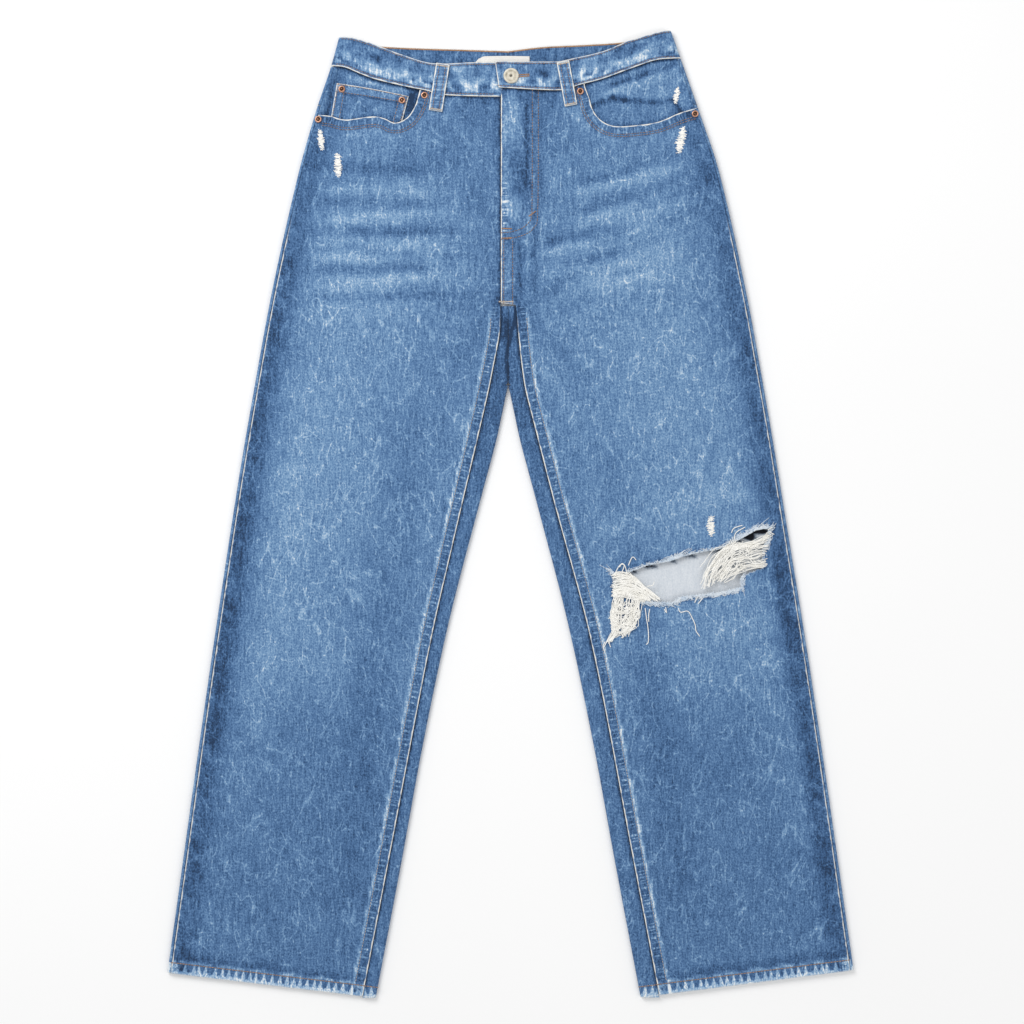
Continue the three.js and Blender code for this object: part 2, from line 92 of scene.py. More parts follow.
def cloud(x, y, size, shift=0):
    # Seeded noise from -1 to 1 with blots of about this size.
    u = np.asarray(x, float) / size + 17.3 * shift
    v = np.asarray(y, float) / size + 9.1 * shift
    i, j = np.floor(u).astype(int), np.floor(v).astype(int)
    fu, fv = smooth(0, 1, u - i), smooth(0, 1, v - j)
    a, b = lattice[i % 256, j % 256], lattice[(i + 1) % 256, j % 256]
    c, d = lattice[i % 256, (j + 1) % 256], lattice[(i + 1) % 256, (j + 1) % 256]
    return lerp(lerp(a, b, fu), lerp(c, d, fu), fv)


def lineDistance(x0, y0, x1, y1, x, y):
    dx, dy = x1 - x0, y1 - y0
    t = np.clip(((x - x0) * dx + (y - y0) * dy) / max(dx * dx + dy * dy, 1e-9), 0, 1)
    return np.hypot(x - x0 - t * dx, y - y0 - t * dy), t


def pathDistance(path, x, y):
    # Nearest distance to a path of points, and how far along it that is.
    best = np.full(x.shape, 1e6)
    along = np.zeros(x.shape)
    run = 0.0
    for (x0, y0), (x1, y1) in zip(path[:-1], path[1:]):
        length = math.hypot(x1 - x0, y1 - y0)
        distance, t = lineDistance(x0, y0, x1, y1, x, y)
        nearer = distance < best
        best = np.where(nearer, distance, best)
        along = np.where(nearer, run + t * length, along)
        run += length
    return best, along


def curveThrough(points, steps):
    # Catmull-Rom curve through points of any dimension.
    knots = np.array(points, float)
    result = []
    for i in range(len(knots) - 1):
        p0, p1 = knots[max(i - 1, 0)], knots[i]
        p2, p3 = knots[i + 1], knots[min(i + 2, len(knots) - 1)]
        for t in np.arange(steps) / steps:
            result.append(0.5 * (2 * p1 + (p2 - p0) * t + (2 * p0 - 5 * p1 + 4 * p2 - p3) * t * t
                                 + (3 * p1 - p0 - 3 * p2 + p3) * t ** 3))
    result.append(knots[-1])
    return np.array(result)


def evenPath(path, step):
    # The same path in equal steps of about this length.
    path = np.array(path, float)
    lengths = np.concatenate([[0], np.cumsum(np.hypot(*(path[1:, :2] - path[:-1, :2]).T))])
    count = max(int(round(lengths[-1] / step)), 1)
    at = np.linspace(0, lengths[-1], count + 1)
    return np.stack([np.interp(at, lengths, path[:, k]) for k in range(path.shape[1])], axis=1)


def besidePath(path, distance):
    # The path moved sideways; a positive distance is to the left of its direction.
    path = np.array(path, float)
    tangent = np.gradient(path, axis=0)
    tangent /= np.maximum(np.hypot(tangent[:, 0], tangent[:, 1]), 1e-9)[:, None]
    return path + distance * np.stack([-tangent[:, 1], tangent[:, 0]], axis=1)


def insidePolygon(polygon, x, y):
    # True where a point lies inside; each edge that a level line crosses flips the answer.
    inside = np.zeros(x.shape, bool)
    for (x0, y0), (x1, y1) in zip(polygon, np.roll(polygon, -1, axis=0)):
        crosses = (y0 > y) != (y1 > y)
        if y0 != y1:
            inside ^= crosses & (x < (x1 - x0) * (y - y0) / (y1 - y0) + x0)
    return inside


# the cut of each side
right = {
    "name": "right", "direction": -1, "hemOuterY": -504.5, "hemInnerY": -532.0,
    "sideFold": lineThrough([
        [-505, 375.4], [-183, 330.3], [15, 300.6], [114, 284.1], [246, 259.9], [378, 230.2],
        [444, 211.5], [493, 195], [525, 186.2]]),
    "inseam": lineThrough([
        [-532, 160.3], [-381, 131.2], [-140, 85], [-30, 60], [126, 23.5], [170, 14.5], [201, 9],
        [229, 8.3]]),
    "frontSeam": lineThrough([
        [0, 459], [72, 461], [90, 465.8], [111, 470], [145, 478], [163, 484.5], [180, 491.5], [195, 493]]),
    "frontTop": lineThrough([
        [-28, 497], [35, 497], [84, 496], [117, 505.4], [144, 515.5], [171, 524], [186, 525]]),
    "backSeam": lineThrough([[0, 475], [31, 476], [143, 481], [170, 487], [195, 493]]),
    "backTop": lineThrough([[0, 510], [31, 511], [143, 515.3], [170, 521], [186, 525]]),
    "yokeSeam": lineThrough([[0, 402], [110, 420], [212, 450]]),
    "flyEdge": 8.25, "bandEnd": (-27.5, -27.5), "bandStitch": (14.0, 182.0),
    "bandLevel": lambda across: lerp(levels["underlapTop"], levels["bandTop"], smooth(25, 50, across)),
    "mouth": [[-211.3, 439.3], [-198, 438], [-181, 434], [-153, 437.5], [-139, 435.5], [-127, 430.5],
              [-114, 436], [-105, 449], [-100.5, 464], [-99.6, 467.6]],
}
left = {
    "name": "left", "direction": 1, "hemOuterY": -501.5, "hemInnerY": -531.5,
    "sideFold": lineThrough([
        [-502, 380.4], [-183, 334.2], [15, 302.3], [114, 285.8], [246, 261.6], [378, 231.9],
        [444, 209.9], [501, 190], [532, 179]]),
    "inseam": lineThrough([
        [-532, 166.5], [-381, 137.5], [-140, 91], [15, 49.8], [106, 26.5], [140, 18.1], [182, 12.5],
        [229, 8.3]]),
    "frontSeam": lineThrough([
        [-10, 469], [58, 466.3], [78, 472], [104, 479], [137, 491], [163, 499.5], [189, 501.5]]),
    "frontTop": lineThrough([
        [-17, 497.7], [52, 497.7], [70, 501], [104, 509], [131, 520], [154, 527], [171, 531.5],
        [179, 532]]),
    "backSeam": lineThrough([[0, 475], [36, 479], [87, 482], [128, 486], [160, 493.5], [189, 501.5]]),
    "backTop": lineThrough([[0, 510], [36, 514.4], [87, 517], [128, 520], [160, 527], [179, 532]]),
    "yokeSeam": lineThrough([[0, 402], [110, 420], [212, 452]]),
    "flyEdge": -7.95, "bandEnd": (-10.5, -14.5), "bandStitch": (-14.0, 176.0),
    "bandLevel": lambda across: lerp(levels["overlapTop"], levels["bandTop"], smooth(34, 58, across)),
    "mouth": [[205.2, 447], [185, 441], [162, 431.5], [135, 427.5], [114, 427], [100, 433], [91, 444],
              [86.5, 458], [81.5, 471.5]],
}
sides = [right, left]
innerFold = lineThrough([
    [-533, 146], [-381, 117.2], [-249, 93], [-117, 65], [15, 30.8], [81, 13.2], [114, 6.1], [142, 0.15]])
# corners of the torn opening, along its upper edge and back along the lower one
tear = np.array([
    [118.0, -72], [129, -64], [150, -56], [174, -51.5], [189, -46], [211, -41], [228, -38.5],
    [242, -33], [255, -25.5], [270, -17], [285, -14.5], [277, -40], [278, -58], [254, -68],
    [254, -81], [228, -86.5], [189, -91], [177, -97.5], [160, -97], [140, -94], [126, -84],
])


def toX(side, across):
    return centreX + side["direction"] * np.asarray(across, float)


def toAcross(side, x):
    return side["direction"] * (np.asarray(x, float) - centreX)


# the lie of the cloth: long folds shared with the frame, then listed whiskers and creases
longFolds = [
    [-150, 120, -245, -440, 60, 0.5], [145, 120, 240, -440, 60, 0.5], [-52, 252, -196, 318, 24, 0.5],
    [48, 252, 190, 352, 24, 0.5], [-62, 200, -214, 222, 24, 0.5], [58, 200, 208, 262, 24, 0.5],
]
# x0, y0, x1, y1, width, height, tone: ridges are light, troughs dark, partly the wash's wear and partly
# painted shading of the relief.
whiskers = [
    # wearer's right hip
    [-215, 362, -60, 352, 7, 0.5, 0.10], [-225, 381, -60, 382, 7, -0.5, -0.10],
    [-230, 322, -45, 330, 7, 0.5, 0.09], [-228, 342, -60, 341, 6, -0.4, -0.07],
    [-236, 300, -48, 296, 6, 0.4, 0.09], [-232, 311, -50, 312, 6, -0.5, -0.10],
    [-238, 281, -60, 279, 6, 0.4, 0.07], [-236, 291, -90, 287, 5, -0.3, -0.06],
    [-235, 250, -70, 262, 8, 0.5, 0.11], [-240, 268, -70, 271, 5, -0.4, -0.07],
    [-235, 234, -60, 240, 6, -0.4, -0.06], [-238, 225, -80, 226, 8, 0.3, 0.05],
    # wearer's left hip
    [55, 358, 190, 398, 6, -0.5, -0.09], [50, 348, 195, 386, 6, 0.4, 0.08],
    [62, 328, 150, 351, 6, -0.5, -0.09], [60, 318, 200, 354, 7, 0.4, 0.08],
    [30, 296, 125, 318, 6, -0.5, -0.10], [30, 286, 190, 325, 6, 0.4, 0.08],
    [42, 270, 130, 290, 6, -0.4, -0.08], [35, 262, 200, 292, 7, 0.5, 0.08],
    [45, 247, 190, 268, 8, 0.5, 0.10], [40, 254, 160, 275, 5, -0.3, -0.05],
]
creases = [
    # drag lines from the fork
    [14, 225, 95, 130, 8, -0.3, -0.05], [16, 205, 80, 80, 7, 0.4, 0.05],
    [-18, 225, -90, 140, 8, -0.3, -0.05], [-22, 190, -70, 60, 8, 0.4, 0.04],
    # long soft runs down the legs
    [-232, 140, -300, -330, 26, 0.5, 0.05], [-118, 90, -180, -420, 22, -0.4, -0.05],
    [238, 150, 318, -330, 24, 0.5, 0.04], [112, 60, 196, -420, 22, -0.4, -0.05],
    [-262, 200, -345, -380, 14, -0.5, -0.05], [270, 180, 350, -380, 14, -0.5, -0.05],
    [-80, 60, -140, -440, 12, 0.3, 0.03], [92, 20, 150, -440, 12, 0.3, 0.03],
    # below and beside the torn knee
    [158, -152, 174, -158, 3, -0.5, -0.14], [110, -10, 250, 30, 12, 0.3, 0.05],
    [290, -40, 306, -120, 8, -0.4, -0.06], [125, -150, 280, -120, 14, 0.4, 0.03],
    # fly placket
    [18, 466, 18, 340, 2.4, -0.6, -0.15], [21, 374, 21, 342, 1.4, -0.4, -0.22],
    [2, 468, 2, 399, 6, 0.2, 0.22], [-6, 466, -6, 398, 2.5, 0.2, 0.19],
    [-5, 396, -5, 330, 3.5, 0.2, 0.12], [11, 440, 11, 396, 2.0, 0.3, 0.16],
    [3, 350, 3, 318, 6, 0.2, 0.20], [9, 346, 9, 322, 2.0, 0.2, 0.16],
    [12, 396, 12, 350, 7.5, -0.2, -0.15], [27, 462, 27, 330, 2.0, 0.2, 0.14],
    [-3, 300, -3, 236, 3.0, -0.2, 0.07], [10, 306, 10, 236, 3.0, -0.3, -0.16],
    [34, 462, 34, 330, 2.4, -0.2, -0.08],
    # under the waist seam
    [-58, 458, -72, 430, 3, 0.4, 0.05], [-46, 458, -52, 425, 3, -0.3, -0.05],
    [42, 462, 47, 430, 3, -0.4, -0.06], [-88, 428, -96, 380, 5, 0.4, 0.05],
    [70, 445, 74, 400, 4, 0.4, 0.04],
]
creaseContrast = {"whiskers": 2.1, "creases": 2.0, "fine": 0.085}


def faceBase(x, y):
    height = lerp(levels["leg"], levels["hip"], smooth(150, 300, y))
    for x0, y0, x1, y1, width, rise in longFolds:
        height = height + rise * bump(lineDistance(x0, y0, x1, y1, x, y)[0], 0, width)
    return height


def faceRelief(x, y):
    height = np.zeros(np.shape(x))
    tone = np.zeros(np.shape(x))
    for i, (x0, y0, x1, y1, width, rise, shade) in enumerate(whiskers + creases):
        contrast = creaseContrast["whiskers" if i < len(whiskers) else "creases"]
        wander = 0.5 * width * cloud(x, y, 28, i + 3)
        distance, t = lineDistance(x0, y0, x1, y1, x + wander * 0.6, y + wander)
        ends = smooth(-0.05, 0.25, t) * smooth(1.05, 0.75, t) if width < 10 else 1.0
        shape = bump(distance, 0, width) * (0.65 + 0.35 * cloud(x, y, 14, i)) * ends
        height = height + rise * shape
        tone = tone + contrast * shade * shape
    # fine whiskers between the placed ones, level on the right and rising on the left
    across = np.abs(x - centreX)
    level = y - np.where(x > centreX, 0.26, -0.04) * across - 7 * smooth(150, 230, across)
    hips = smooth(212, 245, y) * smooth(425, 375, y) * smooth(14, 60, across) * smooth(232, 195, across)
    tone = tone + creaseContrast["fine"] * hips * cloud(across * 0.11, level, 7.0, 41)
    height = height + 0.22 * cloud(x, y, 34, 1) + 0.12 * cloud(x, y, 13, 2)
    tone = tone + 0.018 * cloud(x, y, 30, 4) + 0.018 * cloud(x, y, 11, 5)
    return height, tone


def faceFade(x, y):
    # Wash: light down the middle of the thighs to the knee, dark at the edges and the lower legs.
    total = np.zeros(np.shape(x))
    for side in sides:
        across = toAcross(side, x)
        outer = side["sideFold"](y)
        inner = np.where(y < places["forkY"], innerFold(np.minimum(y, places["forkY"])), 0)
        u = np.clip((across - inner) / np.maximum(outer - inner, 1), 0, 1)
        middle = lerp(0.72, 0.62, smooth(100, -160, y)) if side is right else 0.62
        width = 0.36 if side is right else 0.4
        along = smooth(-262, -150, y) * (0.78 + 0.22 * smooth(-120, 60, y)) * (1 - 0.55 * smooth(265, 400, y))
        fade = along * (0.32 + 0.85 * bump(u, middle, width)) * smooth(1.0, 0.72, u) * smooth(-0.12, 0.16, u)
        total = np.where(across >= 0, fade, total)
    return total


# mesh making
def addObject(name, vertices, faces, attributes, material, smoothShade=True):
    mesh = bpy.data.meshes.new(name)
    mesh.from_pydata((np.asarray(vertices, float) * mm).tolist(), [], faces)
    for key, values in attributes.items():
        layer = mesh.attributes.new(key, "FLOAT", "POINT")
        layer.data.foreach_set("value", np.asarray(values, np.float32))
    mesh.polygons.foreach_set("use_smooth", [smoothShade] * len(mesh.polygons))
    mesh.validate()
    mesh.update()
    mesh.materials.append(material)
    piece = bpy.data.objects.new(name, mesh)
    bpy.context.scene.collection.objects.link(piece)
    return piece


def closedShell(name, outer, inner, triangles, attributes, material):
    # Outer and inner copies of one sheet, joined round every open edge.
    count = len(outer)
    a, b, c = (outer[triangles[:, k]] for k in range(3))
    d, e, f = (inner[triangles[:, k]] for k in range(3))
    volume = np.sum(np.cross(b - a, c - a) * ((a + b + c) - (d + e + f)))
    if volume < 0:
        triangles = triangles[:, ::-1]
    directed = {}
    for tri in triangles.tolist():
        for k in range(3):
            directed[(tri[k], tri[(k + 1) % 3])] = True
    walls = []
    for start, end in directed:
        if (end, start) not in directed:
            walls += [[end, start, start + count], [end, start + count, end + count]]
    faces = np.concatenate([triangles, triangles[:, ::-1] + count, np.array(walls, int)])
    used = np.unique(faces)
    remap = np.zeros(2 * count, int)
    remap[used] = np.arange(len(used))
    doubled = {key: np.concatenate([values, values])[used] for key, values in attributes.items()}
    doubled["inner"] = np.concatenate([np.zeros(count), np.ones(count)])[used]
    return addObject(name, np.concatenate([outer, inner])[used], remap[faces].tolist(), doubled, material)


def gridTriangles(rowCount, columnCount, valid=None):
    # Two triangles to a cell, for the cells whose four corners are all in use.
    j, i = np.meshgrid(np.arange(rowCount - 1), np.arange(columnCount - 1), indexing="ij")
    a = (j * columnCount + i).ravel()
    quads = np.stack([a, a + 1, a + columnCount + 1, a + columnCount], axis=1)
    if valid is not None:
        quads = quads[np.all(np.asarray(valid).ravel()[quads], axis=1)]
    return np.concatenate([quads[:, [0, 1, 2]], quads[:, [0, 2, 3]]])


def flatTriangles(outline, hole, points):
    # Delaunay triangles over an outline, without a hole.
    loops = [outline] if hole is None else [outline, hole]
    corners = np.concatenate(loops + [points])
    edges, start = [], 0
    for loop in loops:
        n = len(loop)
        edges += [(start + k, start + (k + 1) % n) for k in range(n)]
        start += n
    result = delaunay_2d_cdt([tuple(p) for p in corners.tolist()], edges, [], 0, 1e-5, False)
    vertices = np.array([tuple(v) for v in result[0]])
    faces = np.array([f for f in result[2] if len(f) == 3], int)
    middle = vertices[faces].mean(axis=1)
    keep = insidePolygon(outline, middle[:, 0], middle[:, 1])
    if hole is not None:
        keep &= ~insidePolygon(hole, middle[:, 0], middle[:, 1])
    return vertices, faces[keep]


# front panels
frontStyle = {
    "edgeStep": 2.0, "mouthStep": 1.4, "edgeBand": 14.0, "rings": [0.5, 1.2, 2.2, 3.6],
    # edge: white wear, ladder from, to and strength, ridge height
    "outseam": (0.80, 1.2, 5.0, 0.30, 0.35), "inseam": (0.95, 2.6, 9.4, 1.0, 0.45),
    "mouth": (1.0, 1.8, 9.0, 0.75, 0.6), "fly": (1.0, 1.6, 7.0, 0.30, 0.5),
    "hem": (0.30, 0.6, 11.8, 0.0, 0.4), "waist": (0.0, 2.0, 12.0, 0.15, 0.0),
    "tear": (0.30, 0.5, 3.0, 0.4, 0.25),
}


def legLineY(side, across):
    fold = side["sideFold"](side["hemOuterY"])
    inner = innerFold(side["hemInnerY"])
    return lerp(side["hemOuterY"], side["hemInnerY"], (fold - across) / (fold - inner))


def frontEdges(side):
    seam = lambda y: side["sideFold"](y) - places["seamInset"]
    mouth = curveThrough(side["mouth"], 8)
    hemOut = seam(side["hemOuterY"])
    hemIn = side["inseam"](side["hemInnerY"] + 3) + gap
    hem = [[toX(side, a), legLineY(side, a)] for a in np.linspace(hemOut, hemIn, 60)]
    outY = np.linspace(hem[0][1], mouth[0][1], 200)
    outseam = np.stack([toX(side, seam(outY)), outY], axis=1)
    inY = np.linspace(hem[-1][1], places["crotchY"] + 1, 200)
    inseam = np.stack([toX(side, side["inseam"](inY) + gap), inY], axis=1)
    edgeX = float(toX(side, side["flyEdge"]))
    if side is right:
        edgeX = places["flyEdgeX"] - gap
    across = np.linspace(toAcross(side, mouth[-1][0]), toAcross(side, edgeX), 60)
    waist = np.stack([toX(side, across), side["frontSeam"](across) - gap / 2], axis=1)
    mouth[-1] = waist[0]
    fly = np.stack([np.full(60, edgeX), np.linspace(waist[-1][1], places["crotchY"] + 1.5, 60)], axis=1)
    edges = {"hem": np.array(hem), "outseam": outseam, "mouth": mouth, "waist": waist, "fly": fly,
             "inseam": inseam}
    if side is left:
        wobble = np.random.default_rng(5)
        ring = evenPath(np.concatenate([tear, tear[:1]]), 1.6)[:-1]
        edges["tear"] = ring + wobble.normal(0, 0.45, ring.shape)
    return edges


for side in sides:
    side["edges"] = frontEdges(side)


def frontFields(side, x, y):
    x, y = np.asarray(x, float), np.asarray(y, float)
    relief, tone = faceRelief(x, y)
    tone = tone + 0.150 * faceFade(x, y)
    z = faceBase(x, y) + relief
    rim, run = np.full(x.shape, 1e3), np.zeros(x.shape)
    worn, ladder = np.zeros(x.shape), np.zeros(x.shape)
    distances = {}
    for k, (name, path) in enumerate(side["edges"].items()):
        white, start, end, strength, ridge = frontStyle[name]
        closed = np.concatenate([path, path[:1]]) if name == "tear" else path
        distance, along = pathDistance(closed, x, y)
        distances[name] = distance
        # beside the fly edge the right panel dips under the left one and gets a painted shadow line
        if name == "fly" and side is right:
            z = z - 0.9 * smooth(7, 0, distance)
            tone = tone - 0.34 * smooth(3.0, 0.4, distance) - 0.06 * smooth(12, 2, distance)
            continue
        z = z + ridge * bump(distance, 0.9, 0.9) - 0.15 * bump(distance, end, 1.2)
        # the puckered band of the seam
        bars = cloud(along, np.zeros(x.shape) + 40 * k, 3.1, k)
        puckers = 0.28 * strength * bars * smooth(start, start + 1.5, distance)
        z = z + puckers * smooth(end + 1, end - 1, distance)
        within = strength * smooth(start - 0.4, start + 0.4, distance)
        within = within * smooth(end + 0.8, end - 0.8, distance)
        if name == "fly":
            worked = smooth(3, 0, np.abs(y - 338) - 26)
            within = within + 0.9 * worked * smooth(1, 2, distance) * smooth(8, 6, distance)
        nearer = distance < rim
        rim = np.where(nearer, distance, rim)
        run = np.where(nearer, along + 300 * k, run)
        reach = {"outseam": smooth(330, 290, y), "inseam": smooth(222, 185, y)}.get(name, 1.0)
        worn = np.where(nearer, white * reach, worn)
        ladder = np.maximum(ladder, within)
    # second ridge of the felled inseam
    inseamGap, hemGap, waistGap, mouthGap = (distances[name] for name in ("inseam", "hem", "waist", "mouth"))
    ridge = bump(inseamGap, 12.5, 1.3) * (0.75 + 0.40 * cloud(x, y, 16, 35)) * smooth(231, 210, y)
    tone = tone + 0.55 * ridge - 0.07 * bump(inseamGap, 15.2, 1.6)
    tone = tone - 0.13 * smooth(1.0, 2.4, inseamGap) * smooth(10.8, 9.6, inseamGap)
    z = z + 0.3 * bump(inseamGap, 11.2, 1.0)
    # ridge above the turned-up hem
    tone = tone - 0.07 * smooth(12.4, 10.5, hemGap)
    tone = tone + 0.38 * bump(hemGap, 13.8, 1.0) * (0.65 + 0.5 * cloud(x, y, 5, 31))
    tone = tone - 0.15 * smooth(14.6, 16.4, hemGap) * smooth(27, 18, hemGap + 4 * cloud(x, 0 * x, 9, 32))
    z = z + 0.3 * cloud(x, 0 * x, 4.2, 33) * smooth(13, 11, hemGap)
    # puckers under the waistband and a painted shadow below its edge, the pocket mouth's band darker with a
    # painted shadow line beside its stitching, shade along the side seam
    pucker = cloud(x, y * 0.3, 5.5, 8)
    tone = tone + smooth(22, 3, waistGap) * (0.13 * pucker - 0.04) - 0.38 * smooth(3.2, 0.6, waistGap)
    z = z + 0.5 * smooth(20, 4, waistGap) * pucker
    tone = tone - 0.10 * smooth(0.8, 2, mouthGap) * smooth(11, 9.6, mouthGap) + 0.05 * bump(mouthGap, 15, 5)
    tone = tone - 0.12 * bump(mouthGap, 11.8, 0.9)
    tone = tone - 0.05 * bump(distances["outseam"], 3.2, 2.2) - 0.14 * bump(distances["outseam"], 11, 11)
    if side is left:
        placket = smooth(0, 2, x + 10.4) * smooth(29.5, 26, x) * smooth(232, 246, y)
        z = z + 0.8 * placket
        tone = tone - 0.13 * smooth(238, 252, y) * bump(x, 27, 3.2) - 0.03 * placket
        # painted shade on the cloth round the tear, under its fringe of hairs
        tone = tone - 0.16 * bump(distances["tear"], 3.6, 2.2) * (0.6 + 0.6 * cloud(x, y, 4.0, 7))
    # painted shade in the hollow below the crotch
    tone = tone - 0.24 * bump(x, 3, 9) * bump(y, 214, 22) * smooth(231, 226, y)
    sideGap, sideRun = distances["outseam"], 0.6 * x + y
    tone = tone + 0.17 * cloud(sideRun, 0 * x, 9.5, 34) * bump(sideGap, 8, 8)
    return {"z": z, "tone": tone, "rim": np.minimum(rim, 60), "run": run, "worn": worn, "ladder": ladder,
            "roping": smooth(12.6, 11.8, hemGap)}


def frontPanel(side, material):
    edges = side["edges"]
    step = frontStyle["edgeStep"]
    parts = [evenPath(edges["hem"], step)[::-1], evenPath(edges["outseam"], step),
             evenPath(edges["mouth"], frontStyle["mouthStep"]), evenPath(edges["waist"], step),
             evenPath(edges["fly"], step), evenPath(edges["inseam"], step)[::-1]]
    outline = np.concatenate([part[:-1] for part in parts])
    hole = edges.get("tear")
    low, high = outline.min(axis=0), outline.max(axis=0)
    gridX, gridY = np.meshgrid(np.arange(low[0], high[0], step), np.arange(low[1], high[1], step))
    gridX, gridY = gridX.ravel(), gridY.ravel()
    keep = insidePolygon(outline, gridX, gridY)
    if hole is not None:
        keep &= ~insidePolygon(hole, gridX, gridY)
    gridX, gridY = gridX[keep], gridY[keep]
    loops = [np.concatenate([ring, ring[:1]]) for ring in (outline, hole) if ring is not None]
    nearest = np.min([pathDistance(loop, gridX, gridY)[0] for loop in loops], axis=0)
    i, j = np.round((gridX - low[0]) / step).astype(int), np.round((gridY - low[1]) / step).astype(int)
    coarse = (i % 2 == 0) & (j % 2 == 0)
    keep = (nearest > frontStyle["rings"][-1] + 1.0) & ((nearest < frontStyle["edgeBand"]) | coarse)
    points = [np.stack([gridX[keep], gridY[keep]], axis=1)]
    for loop in loops:
        for k, ring in enumerate(frontStyle["rings"]):
            moved = np.concatenate([besidePath(loop, ring), besidePath(loop, -ring)])[k % 2:]
            inside = insidePolygon(outline, moved[:, 0], moved[:, 1])
            if hole is not None:
                inside &= ~insidePolygon(hole, moved[:, 0], moved[:, 1])
            near = np.min([pathDistance(other, moved[:, 0], moved[:, 1])[0] for other in loops], axis=0)
            points.append(moved[inside & (near > ring - 0.12)])
    vertices, triangles = flatTriangles(outline, hole, np.concatenate(points))
    fields = frontFields(side, vertices[:, 0], vertices[:, 1])
    z = fields.pop("z")
    hemRise = pathDistance(edges["hem"], vertices[:, 0], vertices[:, 1])[0]
    thickness = np.where(hemRise < cloth["hemHeight"], cloth["hem"], denim)
    outer = np.stack([vertices[:, 0], vertices[:, 1], z], axis=1)
    inner = outer - np.stack([0 * z, 0 * z, thickness], axis=1)
    return closedShell(f"front_{side['name']}", outer, inner, triangles, fields, material)


# folded sheets: rows of stations from the side seam on the face, round the fold and underneath
def legRow(side, rise):
    outerY = lerp(side["hemOuterY"], places["forkY"], rise)
    innerY = lerp(side["hemInnerY"], places["forkY"], rise)
    outer, inner = float(side["sideFold"](outerY)), float(innerFold(innerY))
    thick = cloth["hem"] if rise * (places["forkY"] - side["hemInnerY"]) < cloth["hemHeight"] else denim
    return {"fold": outer, "inner": inner, "thickness": thick,
            "y": lambda across: lerp(outerY, innerY, (outer - across) / (outer - inner))}


def hipRow(side, lineY):
    fold = float(side["sideFold"](lineY(200.0)))
    for _ in range(4):
        fold = float(side["sideFold"](lineY(fold)))
    return {"fold": fold, "inner": None, "thickness": denim, "y": lineY}


def seamAcross(side, row, inset):
    across = row["fold"] - inset
    for _ in range(4):
        across = float(side["sideFold"](row["y"](across))) - inset
    return across


def underZ(y):
    return levels["lift"] * smooth(190, 227, y)


def foldArc(foldX, low, high, inside, thickness, steps):
    # Outer and inner arc of a fold; `inside` is the direction of the cloth from it.
    radius, middle = (high - low) / 2, (high + low) / 2
    angles = math.pi * (np.arange(steps + 1) / steps - 0.5)
    arc = lambda r: (foldX + inside * (radius - r * np.cos(angles)), middle + r * np.sin(angles))
    return arc(radius), arc(radius - thickness)


def backStations(side, row, innerEnd, columns):
    # One row of a back piece: the strip on the face, round the side fold, then the underside.
    direction, steps = side["direction"], backStyle["foldSteps"]
    foldY = float(row["y"](row["fold"]))
    foldX = float(toX(side, row["fold"]))
    start = seamAcross(side, row, places["seamInset"] - gap)
    high = float(faceBase(toX(side, start), foldY))
    low = float(underZ(foldY))
    thick = row["thickness"]
    (outerX, outerZ), (innerX, innerZ) = foldArc(foldX, low, high, -direction, thick, steps)
    outerX, outerZ, innerX, innerZ = outerX[::-1], outerZ[::-1], innerX[::-1], innerZ[::-1]
    faceX = toX(side, start)
    radius = (high - low) / 2
    under = np.linspace(row["fold"] - radius, innerEnd, columns + 1)[1:]
    underX = toX(side, under)
    underY = row["y"](under)
    underHeight = underZ(underY)
    x = np.concatenate([[faceX], outerX, underX])
    y = np.concatenate([[float(row["y"](start))], np.full(steps + 1, foldY), underY])
    z = np.concatenate([[high], outerZ, underHeight])
    xi = np.concatenate([[faceX], innerX, underX])
    zi = np.concatenate([[high - thick], innerZ, underHeight + thick])
    return [x, y, z, xi, zi]


def seatTone(across, y):
    # Back of the garment: a pale seat and calves.
    fade = 0.14 * bump(y, 300, 95) * bump(across, 105, 70) + 0.10 * bump(y, -120, 160) * bump(across, 190, 80)
    return fade + 0.02 * cloud(across, y, 26, 6) + 0.02 * cloud(across, y, 9, 7)


# Rows are heights in the turned-up hem; the leg is closed at both folds, the tongue only at the side.
backStyle = {
    "hemRows": [0, 0.5, 1.2, 3, 6, 9, 12, 12.7, 12.9, 15], "legStart": 20, "tongueStart": 145,
    "columns": 34, "foldSteps": 10, "arcSteps": 8, "stripColumns": 8,
    "crack": [(6.0, 229), (5.0, 214), (-0.6, 193), (-3.4, 182), (-4.6, 171), (-3.2, 158), (-2.5, 146)],
}


